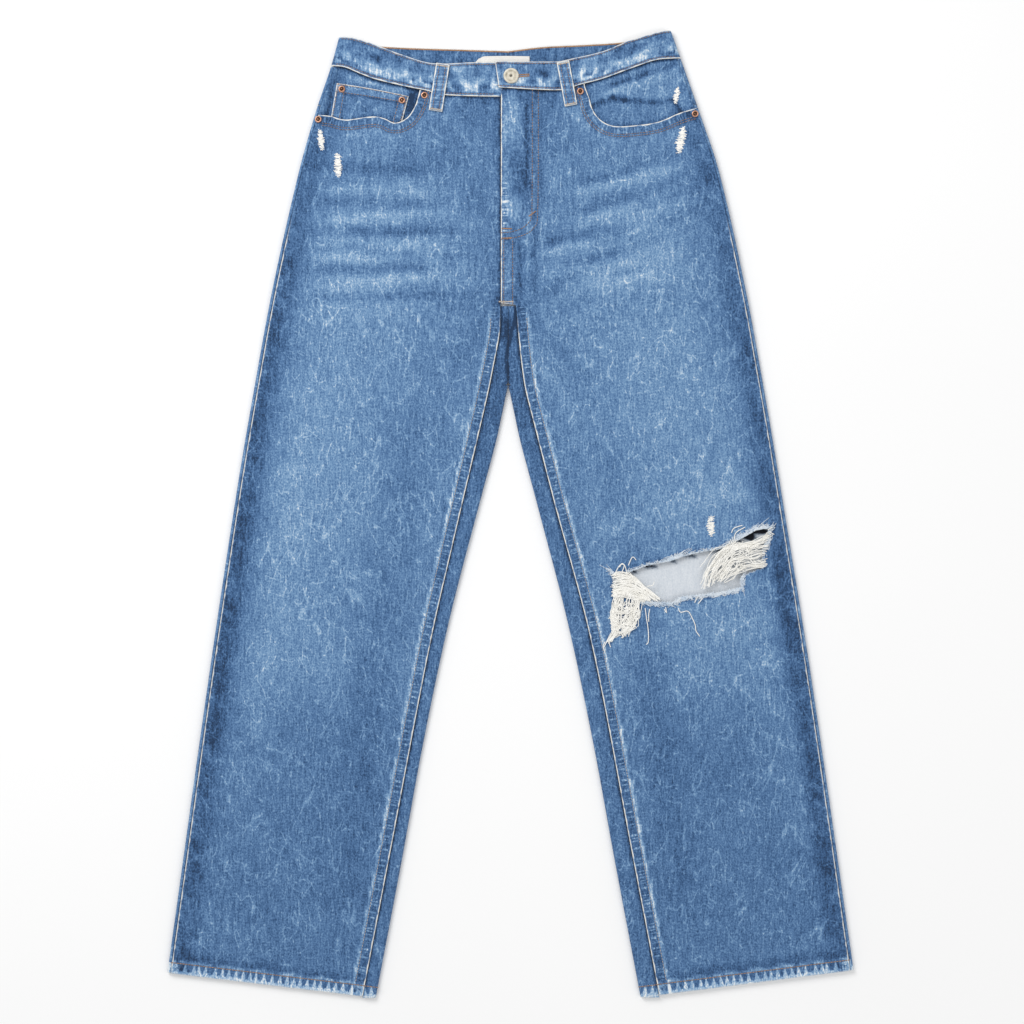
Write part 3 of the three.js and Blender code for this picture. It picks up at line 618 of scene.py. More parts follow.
def backPanel(side, material):
    direction = side["direction"]
    length = places["forkY"] - side["hemInnerY"]
    style = backStyle
    columns, arcSteps, stripColumns = style["columns"], style["arcSteps"], style["stripColumns"]
    crotch = places["crotchY"]
    hemRises = np.array(style["hemRows"]) / length
    rises = np.concatenate([hemRises, np.linspace(style["legStart"] / length, 1, 130)])
    seam = lambda across: side["yokeSeam"](across) - gap / 2
    rows = [("closed", legRow(side, rise)) for rise in rises]
    for height in np.linspace(style["tongueStart"], crotch, 44):
        rows.append(("tongue", hipRow(side, lambda a, h=height: h + 0 * np.asarray(a))))
    for share in np.linspace(0.04, 1, 30):
        rows.append(("open", hipRow(side, lambda a, t=share: lerp(crotch, seam(a), t))))
    outer, inner, valid = [], [], []
    for kind, row in rows:
        if kind == "closed":
            innerY = float(row["y"](row["inner"]))
            foldX = float(toX(side, row["inner"]))
            end = float(side["inseam"](innerY))
            high = float(faceBase(toX(side, end), innerY))
            low = float(underZ(innerY))
            x, y, z, xi, zi = backStations(side, row, row["inner"] + (high - low) / 2, columns)
            (ax, az), (bx, bz) = foldArc(foldX, low, high, direction, row["thickness"], arcSteps)
            arcEnd = row["inner"] + (high - low) / 2
            strip = np.linspace(arcEnd, max(end, arcEnd + 0.5), stripColumns + 1)[1:]
            stripX = toX(side, strip)
            stripZ = np.full(stripColumns, high)
            x, xi = np.concatenate([x, ax[1:], stripX]), np.concatenate([xi, bx[1:], stripX])
            y = np.concatenate([y, np.full(arcSteps, innerY), np.full(stripColumns, innerY)])
            z = np.concatenate([z, az[1:], stripZ])
            zi = np.concatenate([zi, bz[1:], stripZ - row["thickness"]])
            ok = np.ones(len(x), bool)
        else:
            x, y, z, xi, zi = backStations(side, row, gap / 2, columns)
            levelY = float(row["y"](0.0))
            strip = np.linspace(gap / 2, float(side["inseam"](levelY)), stripColumns + 1)
            stripX = toX(side, strip)
            stripZ = faceBase(stripX, levelY + 0 * stripX)
            pad = arcSteps - 1
            onTongue = np.full(stripColumns + 1, kind == "tongue")
            ok = np.concatenate([np.ones(len(x), bool), np.zeros(pad, bool), onTongue])
            x = np.concatenate([x, np.zeros(pad), stripX])
            xi = np.concatenate([xi, np.zeros(pad), stripX])
            y = np.concatenate([y, np.zeros(pad), np.full(stripColumns + 1, levelY)])
            z = np.concatenate([z, np.zeros(pad), stripZ])
            zi = np.concatenate([zi, np.zeros(pad), stripZ - denim])
        outer.append(np.stack([x, y, z], axis=1))
        inner.append(np.stack([xi, y, zi], axis=1))
        valid.append(ok)
    outer, inner = np.array(outer), np.array(inner)
    rowCount, columnCount = outer.shape[:2]
    flatOuter = outer.reshape(-1, 3)
    x, y, z = flatOuter.T
    across = toAcross(side, x)
    column = np.tile(np.arange(columnCount), rowCount)
    faceStrip = column > style["foldSteps"] + 1 + columns
    outerStrip = column <= style["foldSteps"] // 2
    inseamX = toX(side, side["inseam"](y))
    seamGap = np.where(faceStrip, np.abs(x - inseamX), 60.0)
    outGap = np.where(outerStrip, np.abs(across - side["sideFold"](y) + places["seamInset"]), 60.0)
    hemGap = np.abs(y - legLineY(side, across)) + np.where(y < -380, 0, 60)
    tone = np.where(faceStrip, -0.03, seatTone(across, y))
    # painted shade beside the front panel's inseam edge, in the gap at the side seam, between the legs below
    # the fork, in the hollow under the crotch and along the crack of the back rise seam; the pale line at the
    # side seam is wear
    tone = tone - np.where(faceStrip, 0.30 * smooth(3.4, 0.4, seamGap), 0)
    tone = tone - np.where(outerStrip, 0.22 * smooth(1.6, 0.2, outGap) * smooth(446, 436, y), 0)
    tone = tone + np.where(outerStrip, 0.10 * bump(outGap, 2.6, 0.9), 0)
    hollow = bump(x, -4.5, 6.5) * smooth(223, 211, y) * smooth(180, 197, y)
    crack = smooth(2.7, 0.9, pathDistance(style["crack"], x, y)[0]) * smooth(142, 150, y)
    tone = tone - np.where(faceStrip, 0.32 * hollow + 0.10 * bump(y, 120, 70) + 0.42 * crack, 0)
    # the dark slit of shade at the outer end of the tear, and a painted shadow line under the tear's upper
    # edge
    slit = np.minimum(lineDistance(258, -22.5, 281, -17.5, x, y)[0],
                      lineDistance(258, -22.5, 268, -26, x, y)[0])
    upper = pathDistance(tear[1:11] - [0, 1.6], x, y)[0] if side is left else 60 + 0 * x
    lift = np.where(faceStrip, 0.25 * cloud(x, y, 12, 9) - 0.9 * smooth(3.0, 0.5, seamGap) - 1.0 * hollow, 0)
    flatOuter[:, 2] += lift
    flatInner = inner.reshape(-1, 3)
    flatInner[:, 2] += lift
    attributes = {
        "tone": tone, "rim": np.minimum(np.minimum(outGap + 1.2, hemGap), 60),
        "run": np.where(hemGap < 14, across, y + 40 * (across > 200)),
        "worn": np.where(hemGap < outGap, 0.4, 0.35), "ladder": 0 * y, "roping": smooth(12.6, 11.8, hemGap),
        "shade": np.maximum(smooth(4.4, 2.3, slit), 0.62 * smooth(1.9, 0.5, upper)),
    }
    triangles = gridTriangles(rowCount, columnCount, valid)
    return closedShell(f"back_{side['name']}", flatOuter, flatInner, triangles, attributes, material)


def yokePiece(side, material):
    lower = lambda a: side["yokeSeam"](a) + gap / 2
    upper = lambda a: side["backSeam"](a) - gap / 2
    rows = [hipRow(side, lambda a, t=t: lerp(lower(a), upper(a), t)) for t in np.linspace(0, 1, 12)]
    outer, inner = [], []
    for row in rows:
        x, y, z, xi, zi = backStations(side, row, gap / 2, backStyle["columns"])
        outer.append(np.stack([x, y, z], axis=1))
        inner.append(np.stack([xi, y, zi], axis=1))
    outer, inner = np.array(outer).reshape(-1, 3), np.array(inner).reshape(-1, 3)
    x, y, _ = outer.T
    across = toAcross(side, x)
    seamGap = np.minimum(np.abs(y - lower(across)), np.abs(y - upper(across)))
    attributes = {"tone": seatTone(across, y) - 0.12 * smooth(3, 0.5, seamGap), "rim": seamGap, "run": across,
                  "worn": 0 * x + 0.5, "ladder": 0.7 * smooth(1, 2, seamGap) * smooth(9, 7, seamGap),
                  "shade": 0 * x}
    triangles = gridTriangles(len(rows), len(x) // len(rows))
    return closedShell(f"yoke_cloth_{side['name']}", outer, inner, triangles, attributes, material)


# waistband
bandStyle = {
    "frontColumns": 86, "backColumns": 60, "underlapEnd": 8.35, "underlapSeam": 470.5,
    "rows": [0, 0.5, 1.1, 1.9, 3.2, 5, 7.5, 10.5, 14, 18, 22, 26, 29, 31.5, 33.4, 34.6, 35.5, 36.1, 36.6],
}
bandHeight = bandStyle["rows"][-1]
bandCreases = [
    [-205, 480, -170, 497, 4, 0.4, 0.10], [-158, 507, -140, 497, 3, -0.4, -0.10],
    [-140, 500, -108, 484, 3, 0.4, 0.09], [-104, 496, -92, 484, 3, -0.3, -0.08],
    [-62, 492, -48, 472, 3, 0.4, 0.10], [-44, 490, -40, 468, 2.5, 0.5, 0.12],
    [-30, 490, -22, 474, 3, -0.3, -0.06], [-18, 489, -20, 470, 2.4, 0.5, 0.12],
    [30, 489, 46, 476, 4, -0.4, -0.10], [76, 489, 84, 474, 3, 0.4, 0.10],
    [92, 486, 96, 506, 2, 0.5, 0.14], [110, 493, 126, 486, 3, -0.4, -0.09],
    [128, 504, 136, 512, 3, -0.5, -0.12], [140, 509, 168, 520, 3, 0.5, 0.12],
    [150, 505, 175, 507, 3, -0.4, -0.08], [150, 497, 180, 512, 3, 0.4, 0.10],
    [24, 482, 40, 484, 3, -0.3, -0.14],
]


def bandPoint(side, at, rise):
    seam = side["frontSeam"](at) + gap / 2
    if side is right:
        seam = np.where(at < bandStyle["underlapEnd"], bandStyle["underlapSeam"], seam)
    return lerp(seam, side["frontTop"](at), rise)


def bandFields(x, y, v, run):
    tone, z = np.zeros(x.shape), np.zeros(x.shape)
    for x0, y0, x1, y1, width, rise, shade in bandCreases:
        distance, _ = lineDistance(x0, y0, x1, y1, x, y)
        tone = tone + 1.5 * shade * bump(distance, 0, width)
        z = z + rise * bump(distance, 0, width)
    foot, head = v * bandHeight, (1 - v) * bandHeight
    blots = cloud(run + 3 * cloud(run, foot, 9, 2), foot * 0.8, 5.2, 12)
    lowBand = smooth(2.5, 6, foot) * smooth(21, 12, foot + 4 * cloud(run, 0 * run, 13, 15))
    tone = tone + lowBand * (0.13 + 0.20 * smooth(-0.25, 0.35, blots))
    tone = tone - 0.34 * smooth(0.12, 0.4, -blots) * bump(foot, 10, 4.5)
    tone = tone + 0.13 * cloud(run, foot, 12, 13) + 0.09 * cloud(run, foot, 4.5, 14)
    # painted shade lines beside the stitching near the foot and the head
    tone = tone - 0.22 * bump(foot, 3.5, 1.0) - 0.14 * bump(head, 3.1, 0.9) - 0.06 * bump(foot, 24, 6)
    z = z + 0.30 * blots * bump(foot, 10, 7) + 0.45 * bump(foot, 0.9, 0.9) + 0.35 * bump(head, 0.9, 0.9)
    return z, tone, np.minimum(foot, head), foot < head


def waistband(side, material):
    direction = side["direction"]
    rises = np.array(bandStyle["rows"]) / bandHeight
    frontCount, arcSteps = bandStyle["frontColumns"], 10
    low, high, thick = levels["lift"], levels["bandTop"], cloth["band"]
    outer, inner, extra = [], [], []
    for rise in rises:
        frontY = lambda a: bandPoint(side, a, rise)
        fold = hipRow(side, frontY)["fold"]
        seam = seamAcross(side, {"fold": fold, "y": frontY}, places["seamInset"])
        radius = (high - low) / 2
        start = lerp(side["bandEnd"][0], side["bandEnd"][1], rise)
        front = np.linspace(start, max(seam, fold - radius), frontCount)
        level = side["bandLevel"](front)
        foldY = float(frontY(fold))
        (ax, az), (bx, bz) = foldArc(float(toX(side, fold)), low, high, -direction, thick, arcSteps)
        back = np.linspace(fold - radius, gap / 2, bandStyle["backColumns"] + 1)[1:]
        backY = lerp(side["backSeam"](back) + gap / 2, side["backTop"](back), rise)
        x = np.concatenate([toX(side, front), ax[::-1], toX(side, back)])
        y = np.concatenate([frontY(front), np.full(arcSteps + 1, foldY), backY])
        z = np.concatenate([level, az[::-1], np.full(len(back), low)])
        xi = np.concatenate([toX(side, front), bx[::-1], toX(side, back)])
        zi = np.concatenate([level - thick, bz[::-1], np.full(len(back), low + thick)])
        outer.append(np.stack([x, y, z], axis=1))
        inner.append(np.stack([xi, y, zi], axis=1))
        run = np.concatenate([front, fold + np.arange(arcSteps + 1) * 1.0, fold + 12 + (fold - back)])
        extra.append(np.stack([np.full(len(x), rise), run, np.arange(len(x))], axis=1))
    outer, inner, extra = (np.array(part) for part in (outer, inner, extra))
    rowCount, columnCount = outer.shape[:2]
    outer, inner, extra = outer.reshape(-1, 3), inner.reshape(-1, 3), extra.reshape(-1, 3)
    v, run, column = extra.T
    onFace = column < frontCount
    lift, tone, rim, nearFoot = bandFields(outer[:, 0], outer[:, 1], v, run)
    ends = np.abs(run - lerp(side["bandEnd"][0], side["bandEnd"][1], v))
    lift = lift + (0.35 * bump(ends, 0.9, 1.0) if side is left else 0)
    onBack = column > frontCount + arcSteps
    lift = np.where(onFace, lift, 0)
    outer[:, 2] += lift
    inner[:, 2] += lift
    rim = np.minimum(rim, ends)
    worn = np.where(nearFoot, 1.0, 0.75)
    if side is right:
        # beside the end of the left band, which lies over this one, a painted shadow; the covered part gets
        # no worn white
        covered = smooth(12.5, 9.0, run) * onFace
        tone = tone - 0.25 * smooth(5.5, 0.5, np.abs(run - 14.5)) * covered
        worn = worn * (1 - covered)
    attributes = {"tone": np.where(onBack, 0.5 * tone - 0.10, tone), "rim": rim, "run": run, "worn": worn,
                  "ladder": 0.45 * bump(v * bandHeight, 9, 6), "shade": 0 * v}
    triangles = gridTriangles(rowCount, columnCount)
    return closedShell(f"band_{side['name']}", outer, inner, triangles, attributes, material)


# pocket facings, coin pocket, fly shield
facingStyle = {
    "right": {"depth": denim + gap + cloth["facing"] + gap, "endAcross": 76.0, "foot": 408.0, "base": 0.03},
    "left": {"depth": denim + gap, "endAcross": 64.0, "foot": 403.0, "base": 0.05},
    "top": 1.5,
}
# x0, y0, x1, y1, width, height and tone of each fold; the tones paint shade in the folds and light on their
# ridges
facingCreases = [
    # left facing
    [112, 472, 150, 484, 3.2, -0.7, -0.24], [150, 484, 180, 494, 3.0, -0.6, -0.16],
    [110, 464, 165, 480, 5, 0.5, 0.10], [88, 448, 112, 459, 3.2, -0.9, -0.30],
    [112, 459, 126, 455, 3.2, -0.9, -0.32], [126, 455, 158, 453, 2.8, -0.6, -0.22],
    [158, 453, 178, 455, 2.6, -0.4, -0.12], [92, 455, 120, 468, 5, 0.6, 0.12],
    [130, 462, 176, 463, 6, 0.4, 0.06], [179, 455, 188, 441, 2.6, -0.9, -0.34],
    [186, 455, 196, 443, 4, 0.5, 0.08], [150, 488, 190, 480, 6, 0.3, 0.05],
    # right facing and coin pocket
    [-196, 472, -180, 484, 4, -0.5, -0.14], [-206, 462, -209, 445, 4, 0.4, 0.12],
    [-196, 466, -202, 440, 2.6, -0.5, -0.24], [-112, 470, -106, 452, 3.5, -0.7, -0.20],
    [-104, 466, -112, 445, 4, -0.5, -0.12], [-182, 482, -110, 465, 3.4, 0.3, 0.15],
    [-109, 462, -120, 430, 2.2, -0.5, -0.22], [-188, 444, -180, 430, 3, 0.3, 0.07],
    [-150, 448, -125, 444, 3.5, 0.3, 0.10], [-176, 446, -150, 448, 3, -0.2, -0.06],
]


def facingFields(x, y):
    relief, tone = faceRelief(x, y)
    depth = np.zeros(x.shape)
    shade = np.zeros(x.shape)
    for i, (x0, y0, x1, y1, width, rise, dark) in enumerate(facingCreases):
        wanderX, wanderY = 1.2 * cloud(x, y, 9, i), 1.6 * cloud(x, y, 11, i + 1)
        distance = lineDistance(x0, y0, x1, y1, x + wanderX, y + wanderY)[0]
        depth = depth + rise * bump(distance, 0, width)
        shade = shade + dark * bump(distance, 0, width)
    return 0.4 * relief + np.minimum(0.45 * depth, 0.15), shade + tone


def sheetPiece(name, u, v, point, thickness, level, tone, rim, run, material, worn=0.5, ladder=0.0):
    # A four-sided sheet; `point` gives x and y for each u (across) and v (up).
    us, vs = np.meshgrid(u, v)
    us, vs = us.ravel(), vs.ravel()
    x, y = point(us, vs)
    z = level(x, y)
    outer = np.stack([x, y, z], axis=1)
    inner = np.stack([x, y, z - thickness], axis=1)
    flat = np.zeros(len(us))
    attributes = {"tone": tone(us, vs, x, y), "rim": rim(us, vs, x, y), "run": run(us, vs, x, y),
                  "worn": flat + worn, "ladder": flat + ladder, "shade": flat}
    return closedShell(name, outer, inner, gridTriangles(len(v), len(u)), attributes, material)


def facingPiece(side, material):
    style = facingStyle[side["name"]]
    outerAcross = lambda y: side["sideFold"](y) - places["seamInset"] + 0.2
    height = lambda across, v: lerp(style["foot"], side["frontSeam"](across) + facingStyle["top"], v)

    def point(u, v):
        across = lerp(style["endAcross"], outerAcross(lerp(style["foot"], 492, v)), u)
        across = lerp(style["endAcross"], outerAcross(height(across, v)), u)
        return toX(side, across), height(across, v)

    def level(x, y):
        tuck = smooth(0.3, 9, outerAcross(y) - toAcross(side, x))
        return faceBase(x, y) + facingFields(x, y)[0] - style["depth"] * tuck

    def tone(u, v, x, y):
        near = pathDistance(side["edges"]["mouth"], x, y)[0]
        waist = np.abs(y - side["frontSeam"](toAcross(side, x)))
        # painted shade under the pocket mouth's edge, a painted shadow under the waistband, and darker at the
        # tucked outer edge
        shade = 1.3 * facingFields(x, y)[1] + style["base"] - 0.16 * smooth(7, 0.5, near)
        return shade - 0.36 * smooth(4, 0.5, waist) - 0.05 * smooth(0.9, 1, u)

    return sheetPiece(f"facing_{side['name']}", np.linspace(0, 1, 64), np.linspace(0, 1, 40), point,
                      cloth["facing"], level, tone, lambda u, v, x, y: 60 + 0 * x, lambda u, v, x, y: x,
                      material, worn=0)


coinStyle = {"corners": [[-199, 428], [-121.5, 424], [-112, 460], [-191, 474.5]], "wide": 78, "high": 47}


def coinPoint(u, v):
    corners = np.array(coinStyle["corners"])
    low = corners[0] + np.outer(u, corners[1] - corners[0])
    high = corners[3] + np.outer(u, corners[2] - corners[3])
    x, y = (low + (high - low) * np.asarray(v)[:, None]).T
    return x, y + 0.9 * np.sin(np.pi * u) * v


def coinLevel(x, y):
    return faceBase(x, y) - denim - gap + facingFields(x, y)[0]


def coinPiece(material):
    u = np.unique(np.concatenate([np.linspace(0, 1, 50), [0.006, 0.015, 0.985, 0.994]]))
    v = np.unique(np.concatenate([np.linspace(0, 1, 34), [0.97, 0.985, 0.994]]))
    toSide = lambda u: np.minimum(u * coinStyle["wide"], (1 - u) * coinStyle["wide"])
    toTop = lambda v: (1 - v) * coinStyle["high"]

    def tone(u, v, x, y):
        side, top = toSide(u), toTop(v)
        near = pathDistance(right["edges"]["mouth"], x, y)[0]
        blots = cloud(x, y, 4.2, 21)
        # painted shade under the pocket mouth's edge and beside the inner stitch rows; the top hem is lighter
        # with wear
        shade = facingFields(x, y)[1] + 0.02 - 0.05 * smooth(11, 9, side) - 0.12 * smooth(5, 0.5, near)
        shade = shade + smooth(9.5, 8, top) * (0.08 + 0.14 * blots)
        shade = shade - 0.24 * bump(top, 10.8, 1.3) + 0.16 * bump(top, 9.2, 0.7)
        return shade - 0.24 * bump(side, 11.4, 1.1)

    return sheetPiece("coin_pocket_cloth", u, v, coinPoint, cloth["facing"], coinLevel, tone,
                      lambda u, v, x, y: np.minimum(toSide(u), toTop(v)), lambda u, v, x, y: x + 2 * y,
                      material, worn=0.85, ladder=0.25)


shieldStyle = {"wide": 48, "foot": 244, "top": 452}


def shieldPiece(material):
    half = shieldStyle["wide"] / 2
    level = lambda x, y: faceBase(x, y) + faceRelief(x, y)[0] * 0.2 - denim - 2.6 * gap
    point = lambda u, v: (lerp(-half, half, u), lerp(shieldStyle["foot"], shieldStyle["top"], v))
    rim = lambda u, v, x, y: np.minimum(u, 1 - u) * shieldStyle["wide"]
    return sheetPiece("fly_shield_cloth", np.linspace(0, 1, 13), np.linspace(0, 1, 60), point, denim, level,
                      lambda u, v, x, y: 0.02 * cloud(x, y, 12, 3), rim, lambda u, v, x, y: y, material)


# patches on the underside and belt loops
pocketStyle = {
    "footAcross": (46, 170), "mouthAcross": (32, 178), "footY": [250, 234, 256], "mouthY": (386, 402),
    "wide": 130, "high": 140, "stitchHigh": 150,
}


def pocketPoint(side, u, v):
    across = lerp(lerp(*pocketStyle["footAcross"], u), lerp(*pocketStyle["mouthAcross"], u), v)
    foot = np.interp(u, [0, 0.5, 1], pocketStyle["footY"])
    return toX(side, across), lerp(foot, lerp(*pocketStyle["mouthY"], u), v)


def backPocket(side, material):
    wide, high = pocketStyle["wide"], pocketStyle["high"]
    edge = lambda u, v, x, y: np.minimum(np.minimum(u, 1 - u) * wide, np.minimum(v, 1 - v) * high)
    tone = lambda u, v, x, y: 0.10 * bump(u, 0.5, 0.4) * bump(v, 0.5, 0.5) + 0.03 * cloud(x, y, 12, 3)
    grid = np.unique(np.concatenate([np.linspace(0, 1, 40), [0.004, 0.012, 0.988, 0.996]]))
    return sheetPiece(f"pocket_{side['name']}", grid, grid, lambda u, v: pocketPoint(side, u, v), -denim,
                      lambda x, y: 0 * x, tone, edge, lambda u, v, x, y: x + y, material,
                      worn=0.8, ladder=0.3)


loopStyle = {
    "front": [("loop_1", "belt_loop_1", right, (-74.2, 495.0), (-82.5, 443.5), 14.6),
              ("loop_2", "belt_loop_2", left, (57.5, 497.5), (66.5, 449.5), 13.6)],
    "back": [("loop_3", "belt_loop_3", -2.5, 448.0, 508.0), ("loop_4", "belt_loop_4", -152.5, 452.0, 514.0),
             ("loop_5", "belt_loop_5", 142.5, 456.0, 521.0)],
    "backWidth": 13.5, "rimWidth": 14, "rimLength": 50, "backRimLength": 60,
}


def frontLoopPoint(top, foot, width):
    def point(u, v):
        x, y = lerp(foot[0], top[0], v), lerp(foot[1], top[1], v)
        slant = (top[0] - foot[0]) / (top[1] - foot[1])
        return x + (u - 0.5) * width, y - (u - 0.5) * width * slant
    return point


def frontLoopLevel(side, top, foot):
    def level(x, y):
        v = np.clip((y - foot[1]) / (top[1] - foot[1]), 0, 1)
        middle = lerp(foot[0], top[0], v)
        across = toAcross(side, middle)
        seam = side["frontSeam"](across)
        onBand = smooth(seam - 14, seam - 4, y)
        base = lerp(faceBase(middle, y) + 0.5, side["bandLevel"](across) + 0.75, onBand)
        crown = 0.35 * (1 - (2 * (x - middle) / loopStyle["rimWidth"]) ** 2)
        fromTop, fromFoot = (1 - v) * loopStyle["rimLength"], v * loopStyle["rimLength"]
        height = base + cloth["loop"] + gap + crown
        return height - 0.5 * smooth(3.5, 0, fromTop) - 0.3 * smooth(4, 0, fromFoot)
    return level


def loopRim(u, v, length):
    return np.minimum(np.minimum(u, 1 - u) * loopStyle["rimWidth"], np.minimum(v, 1 - v) * length + 0.2)


def loopTone(u, v, x, y):
    side = np.minimum(u, 1 - u) * loopStyle["rimWidth"]
    return 0.06 - 0.12 * smooth(2.2, 3.6, side) + 0.08 * bump(u, 0.5, 0.1) + 0.06 * cloud(x, y, 3.0, 5)


def frontLoop(name, side, top, foot, width, material):
    u = np.array([0, 0.03, 0.08, 0.15, 0.25, 0.37, 0.5, 0.63, 0.75, 0.85, 0.92, 0.97, 1])
    return sheetPiece(name, u, np.linspace(0, 1, 40), frontLoopPoint(top, foot, width), cloth["loop"],
                      frontLoopLevel(side, top, foot), loopTone,
                      lambda a, b, x, y: loopRim(a, b, loopStyle["rimLength"]),
                      lambda a, b, x, y: y, material, worn=1.0, ladder=0.5)


def backLoop(name, x, foot, top, material):
    half = loopStyle["backWidth"] / 2
    u = np.array([0, 0.03, 0.08, 0.2, 0.35, 0.5, 0.65, 0.8, 0.92, 0.97, 1])
    point = lambda a, b: (x + (2 * a - 1) * half, lerp(foot, top, b))
    return sheetPiece(name, u, np.linspace(0, 1, 40), point, -cloth["loop"], lambda px, py: 0 * px, loopTone,
                      lambda a, b, px, py: loopRim(a, b, loopStyle["backRimLength"]),
                      lambda a, b, px, py: py, material, worn=1.0, ladder=0.5)


labelStyle = {"foot": 474, "top": 504, "wide": 60, "high": 30, "thickness": 0.7}


def labelPiece(material):
    def point(u, v):
        leftEdge = np.interp(v, [0, 0.85, 1], [-39, -38.7, -35])
        top = labelStyle["top"] - 2.4 * bump(u, 0, 0.06) + 0.5 * np.sin(3 * u)
        return lerp(leftEdge, 22 - v, u), lerp(labelStyle["foot"], top, v)

    level = lambda x, y: levels["lift"] + cloth["band"] + gap + 0.8 + 0.15 * cloud(x, y, 8, 2) + 0.15
    wide, high = labelStyle["wide"], labelStyle["high"]
    rim = lambda u, v, x, y: np.minimum(np.minimum(u, 1 - u) * wide, (1 - v) * high)
    return sheetPiece("label_cloth", np.linspace(0, 1, 40), np.linspace(0, 1, 24), point,
                      labelStyle["thickness"], level, lambda u, v, x, y: 0.02 * cloud(x, y, 6, 3), rim,
                      lambda u, v, x, y: x, material)


# node helpers
def link(tree, kind, inputs=None, **settings):
    # A node of this kind; each input is a value, or a socket to link from.
    node = tree.nodes.new(kind)
    for key, value in settings.items():
        setattr(node, key, value)
    for key, value in (inputs or {}).items():
        if isinstance(value, bpy.types.NodeSocket):
            tree.links.new(value, node.inputs[key])
        else:
            node.inputs[key].default_value = value
    return node


def maths(tree, operation, a, b=0.0, c=0.0):
    return link(tree, "ShaderNodeMath", {0: a, 1: b, 2: c}, operation=operation).outputs[0]


def ramped(tree, value, low, high, to=(0.0, 1.0)):
    limits = {"Value": value, "From Min": low, "From Max": high, "To Min": to[0], "To Max": to[1]}
    return link(tree, "ShaderNodeMapRange", limits, interpolation_type="SMOOTHSTEP").outputs["Result"]


def noise(tree, vector, scale, detail=2.0, roughness=0.5, warp=0.0):
    return link(tree, "ShaderNodeTexNoise", {"Vector": vector, "Scale": scale, "Detail": detail,
                                             "Roughness": roughness, "Distortion": warp}).outputs["Fac"]


def noiseAlong(tree, value, scale, detail=1.0):
    inputs = {"W": value, "Scale": scale, "Detail": detail}
    return link(tree, "ShaderNodeTexNoise", inputs, noise_dimensions="1D").outputs["Fac"]


def stretched(tree, vector, scale, turn=0.0, shift=(0.0, 0.0, 0.0)):
    # Marks grow by `scale` along axes that are turned first.
    return link(tree, "ShaderNodeMapping", {"Vector": vector, "Scale": scale, "Rotation": (0.0, 0.0, turn),
                                            "Location": shift}, vector_type="TEXTURE").outputs["Vector"]


def newGroup(name, kind, inputs, outputs):
    # A node group with named sockets; returns the tree, what it is given and what it hands back.
    tree = bpy.data.node_groups.new(name, kind)
    for label, socketKind, value in inputs:
        socket = tree.interface.new_socket(label, in_out="INPUT", socket_type="NodeSocket" + socketKind)
        if value is not None:
            socket.default_value = value
    for label, socketKind in outputs:
        tree.interface.new_socket(label, in_out="OUTPUT", socket_type="NodeSocket" + socketKind)
    given, result = tree.nodes.new("NodeGroupInput"), tree.nodes.new("NodeGroupOutput")
    return tree, given.outputs, result.inputs


# the wash, the weave and worn edges: groups shared by every denim
# turn, stretch, scale, shift, share left out and patch scale of each layer of fibre marks
wornRows = [
    (0.05, 2.9, 54.0, 0.0, 0.50, 62.0), (-0.30, 2.9, 48.0, 3.1, 0.51, 58.0),
    (0.34, 2.7, 52.0, 7.7, 0.51, 60.0), (-0.14, 3.2, 80.0, 9.4, 0.53, 118.0),
    (1.0, 2.4, 64.0, 5.3, 0.56, 100.0),
]


def wornStreakGroup():
    # Short curly hair-like marks of the wash, mostly lengthwise.
    tree, given, result = newGroup("wornStreaks", "ShaderNodeTree",
                                   [("Vector", "Vector", None), ("Width", "Float", 0.05)],
                                   [("Streaks", "Float"), ("Fold", "Float")])
    total = None
    for turn, stretch, scale, shift, cut, patches in wornRows:
        spot = stretched(tree, given["Vector"], (1.0, stretch, 1.0), turn, (shift, shift * 0.7, 0.0))
        level = maths(tree, "SUBTRACT", noise(tree, spot, scale, 1.2, 0.5, 0.3), 0.5)
        line = ramped(tree, maths(tree, "ABSOLUTE", level), given["Width"], 0.0)
        patch = stretched(tree, given["Vector"], (1.0, 2.0, 1.0), turn, (shift + 2.0, shift, 0.0))
        broken = ramped(tree, noise(tree, patch, patches, 1.0, 0.5, 0.0), cut, cut + 0.05)
        stroke = maths(tree, "MULTIPLY", line, broken)
        total = stroke if total is None else maths(tree, "MAXIMUM", total, stroke)
    fold = noise(tree, stretched(tree, given["Vector"], (1.0, 2.0, 1.0)), 70.0, 3.0, 0.6, 0.6)
    tree.links.new(total, result["Streaks"])
    tree.links.new(fold, result["Fold"])
    return tree


def weaveGroup():
    # Twill grain: fine lengthwise threads with slubs.
    tree, given, result = newGroup("weaveGrain", "ShaderNodeTree",
                                   [("Vector", "Vector", None), ("Scale", "Float", 620.0)],
                                   [("Grain", "Float"), ("Height", "Float")])
    fine = noise(tree, stretched(tree, given["Vector"], (1.0, 1.5, 1.0), 0.12), given["Scale"], 1.0, 0.6)
    slub = noise(tree, stretched(tree, given["Vector"], (1.0, 7.0, 1.0)), 480.0, 1.0)
    cross = noise(tree, stretched(tree, given["Vector"], (3.3, 1.0, 1.0)), 560.0, 1.0)
    grain = 0.0
    for part, weight in ((fine, 1.8), (slub, 1.1), (cross, 0.5)):
        grain = maths(tree, "MULTIPLY_ADD", maths(tree, "SUBTRACT", part, 0.5), weight, grain)
    tree.links.new(grain, result["Grain"])
    tree.links.new(fine, result["Height"])
    return tree


edgeInputs = ("Rim", "Run", "Worn", "Ladder", "Roping")


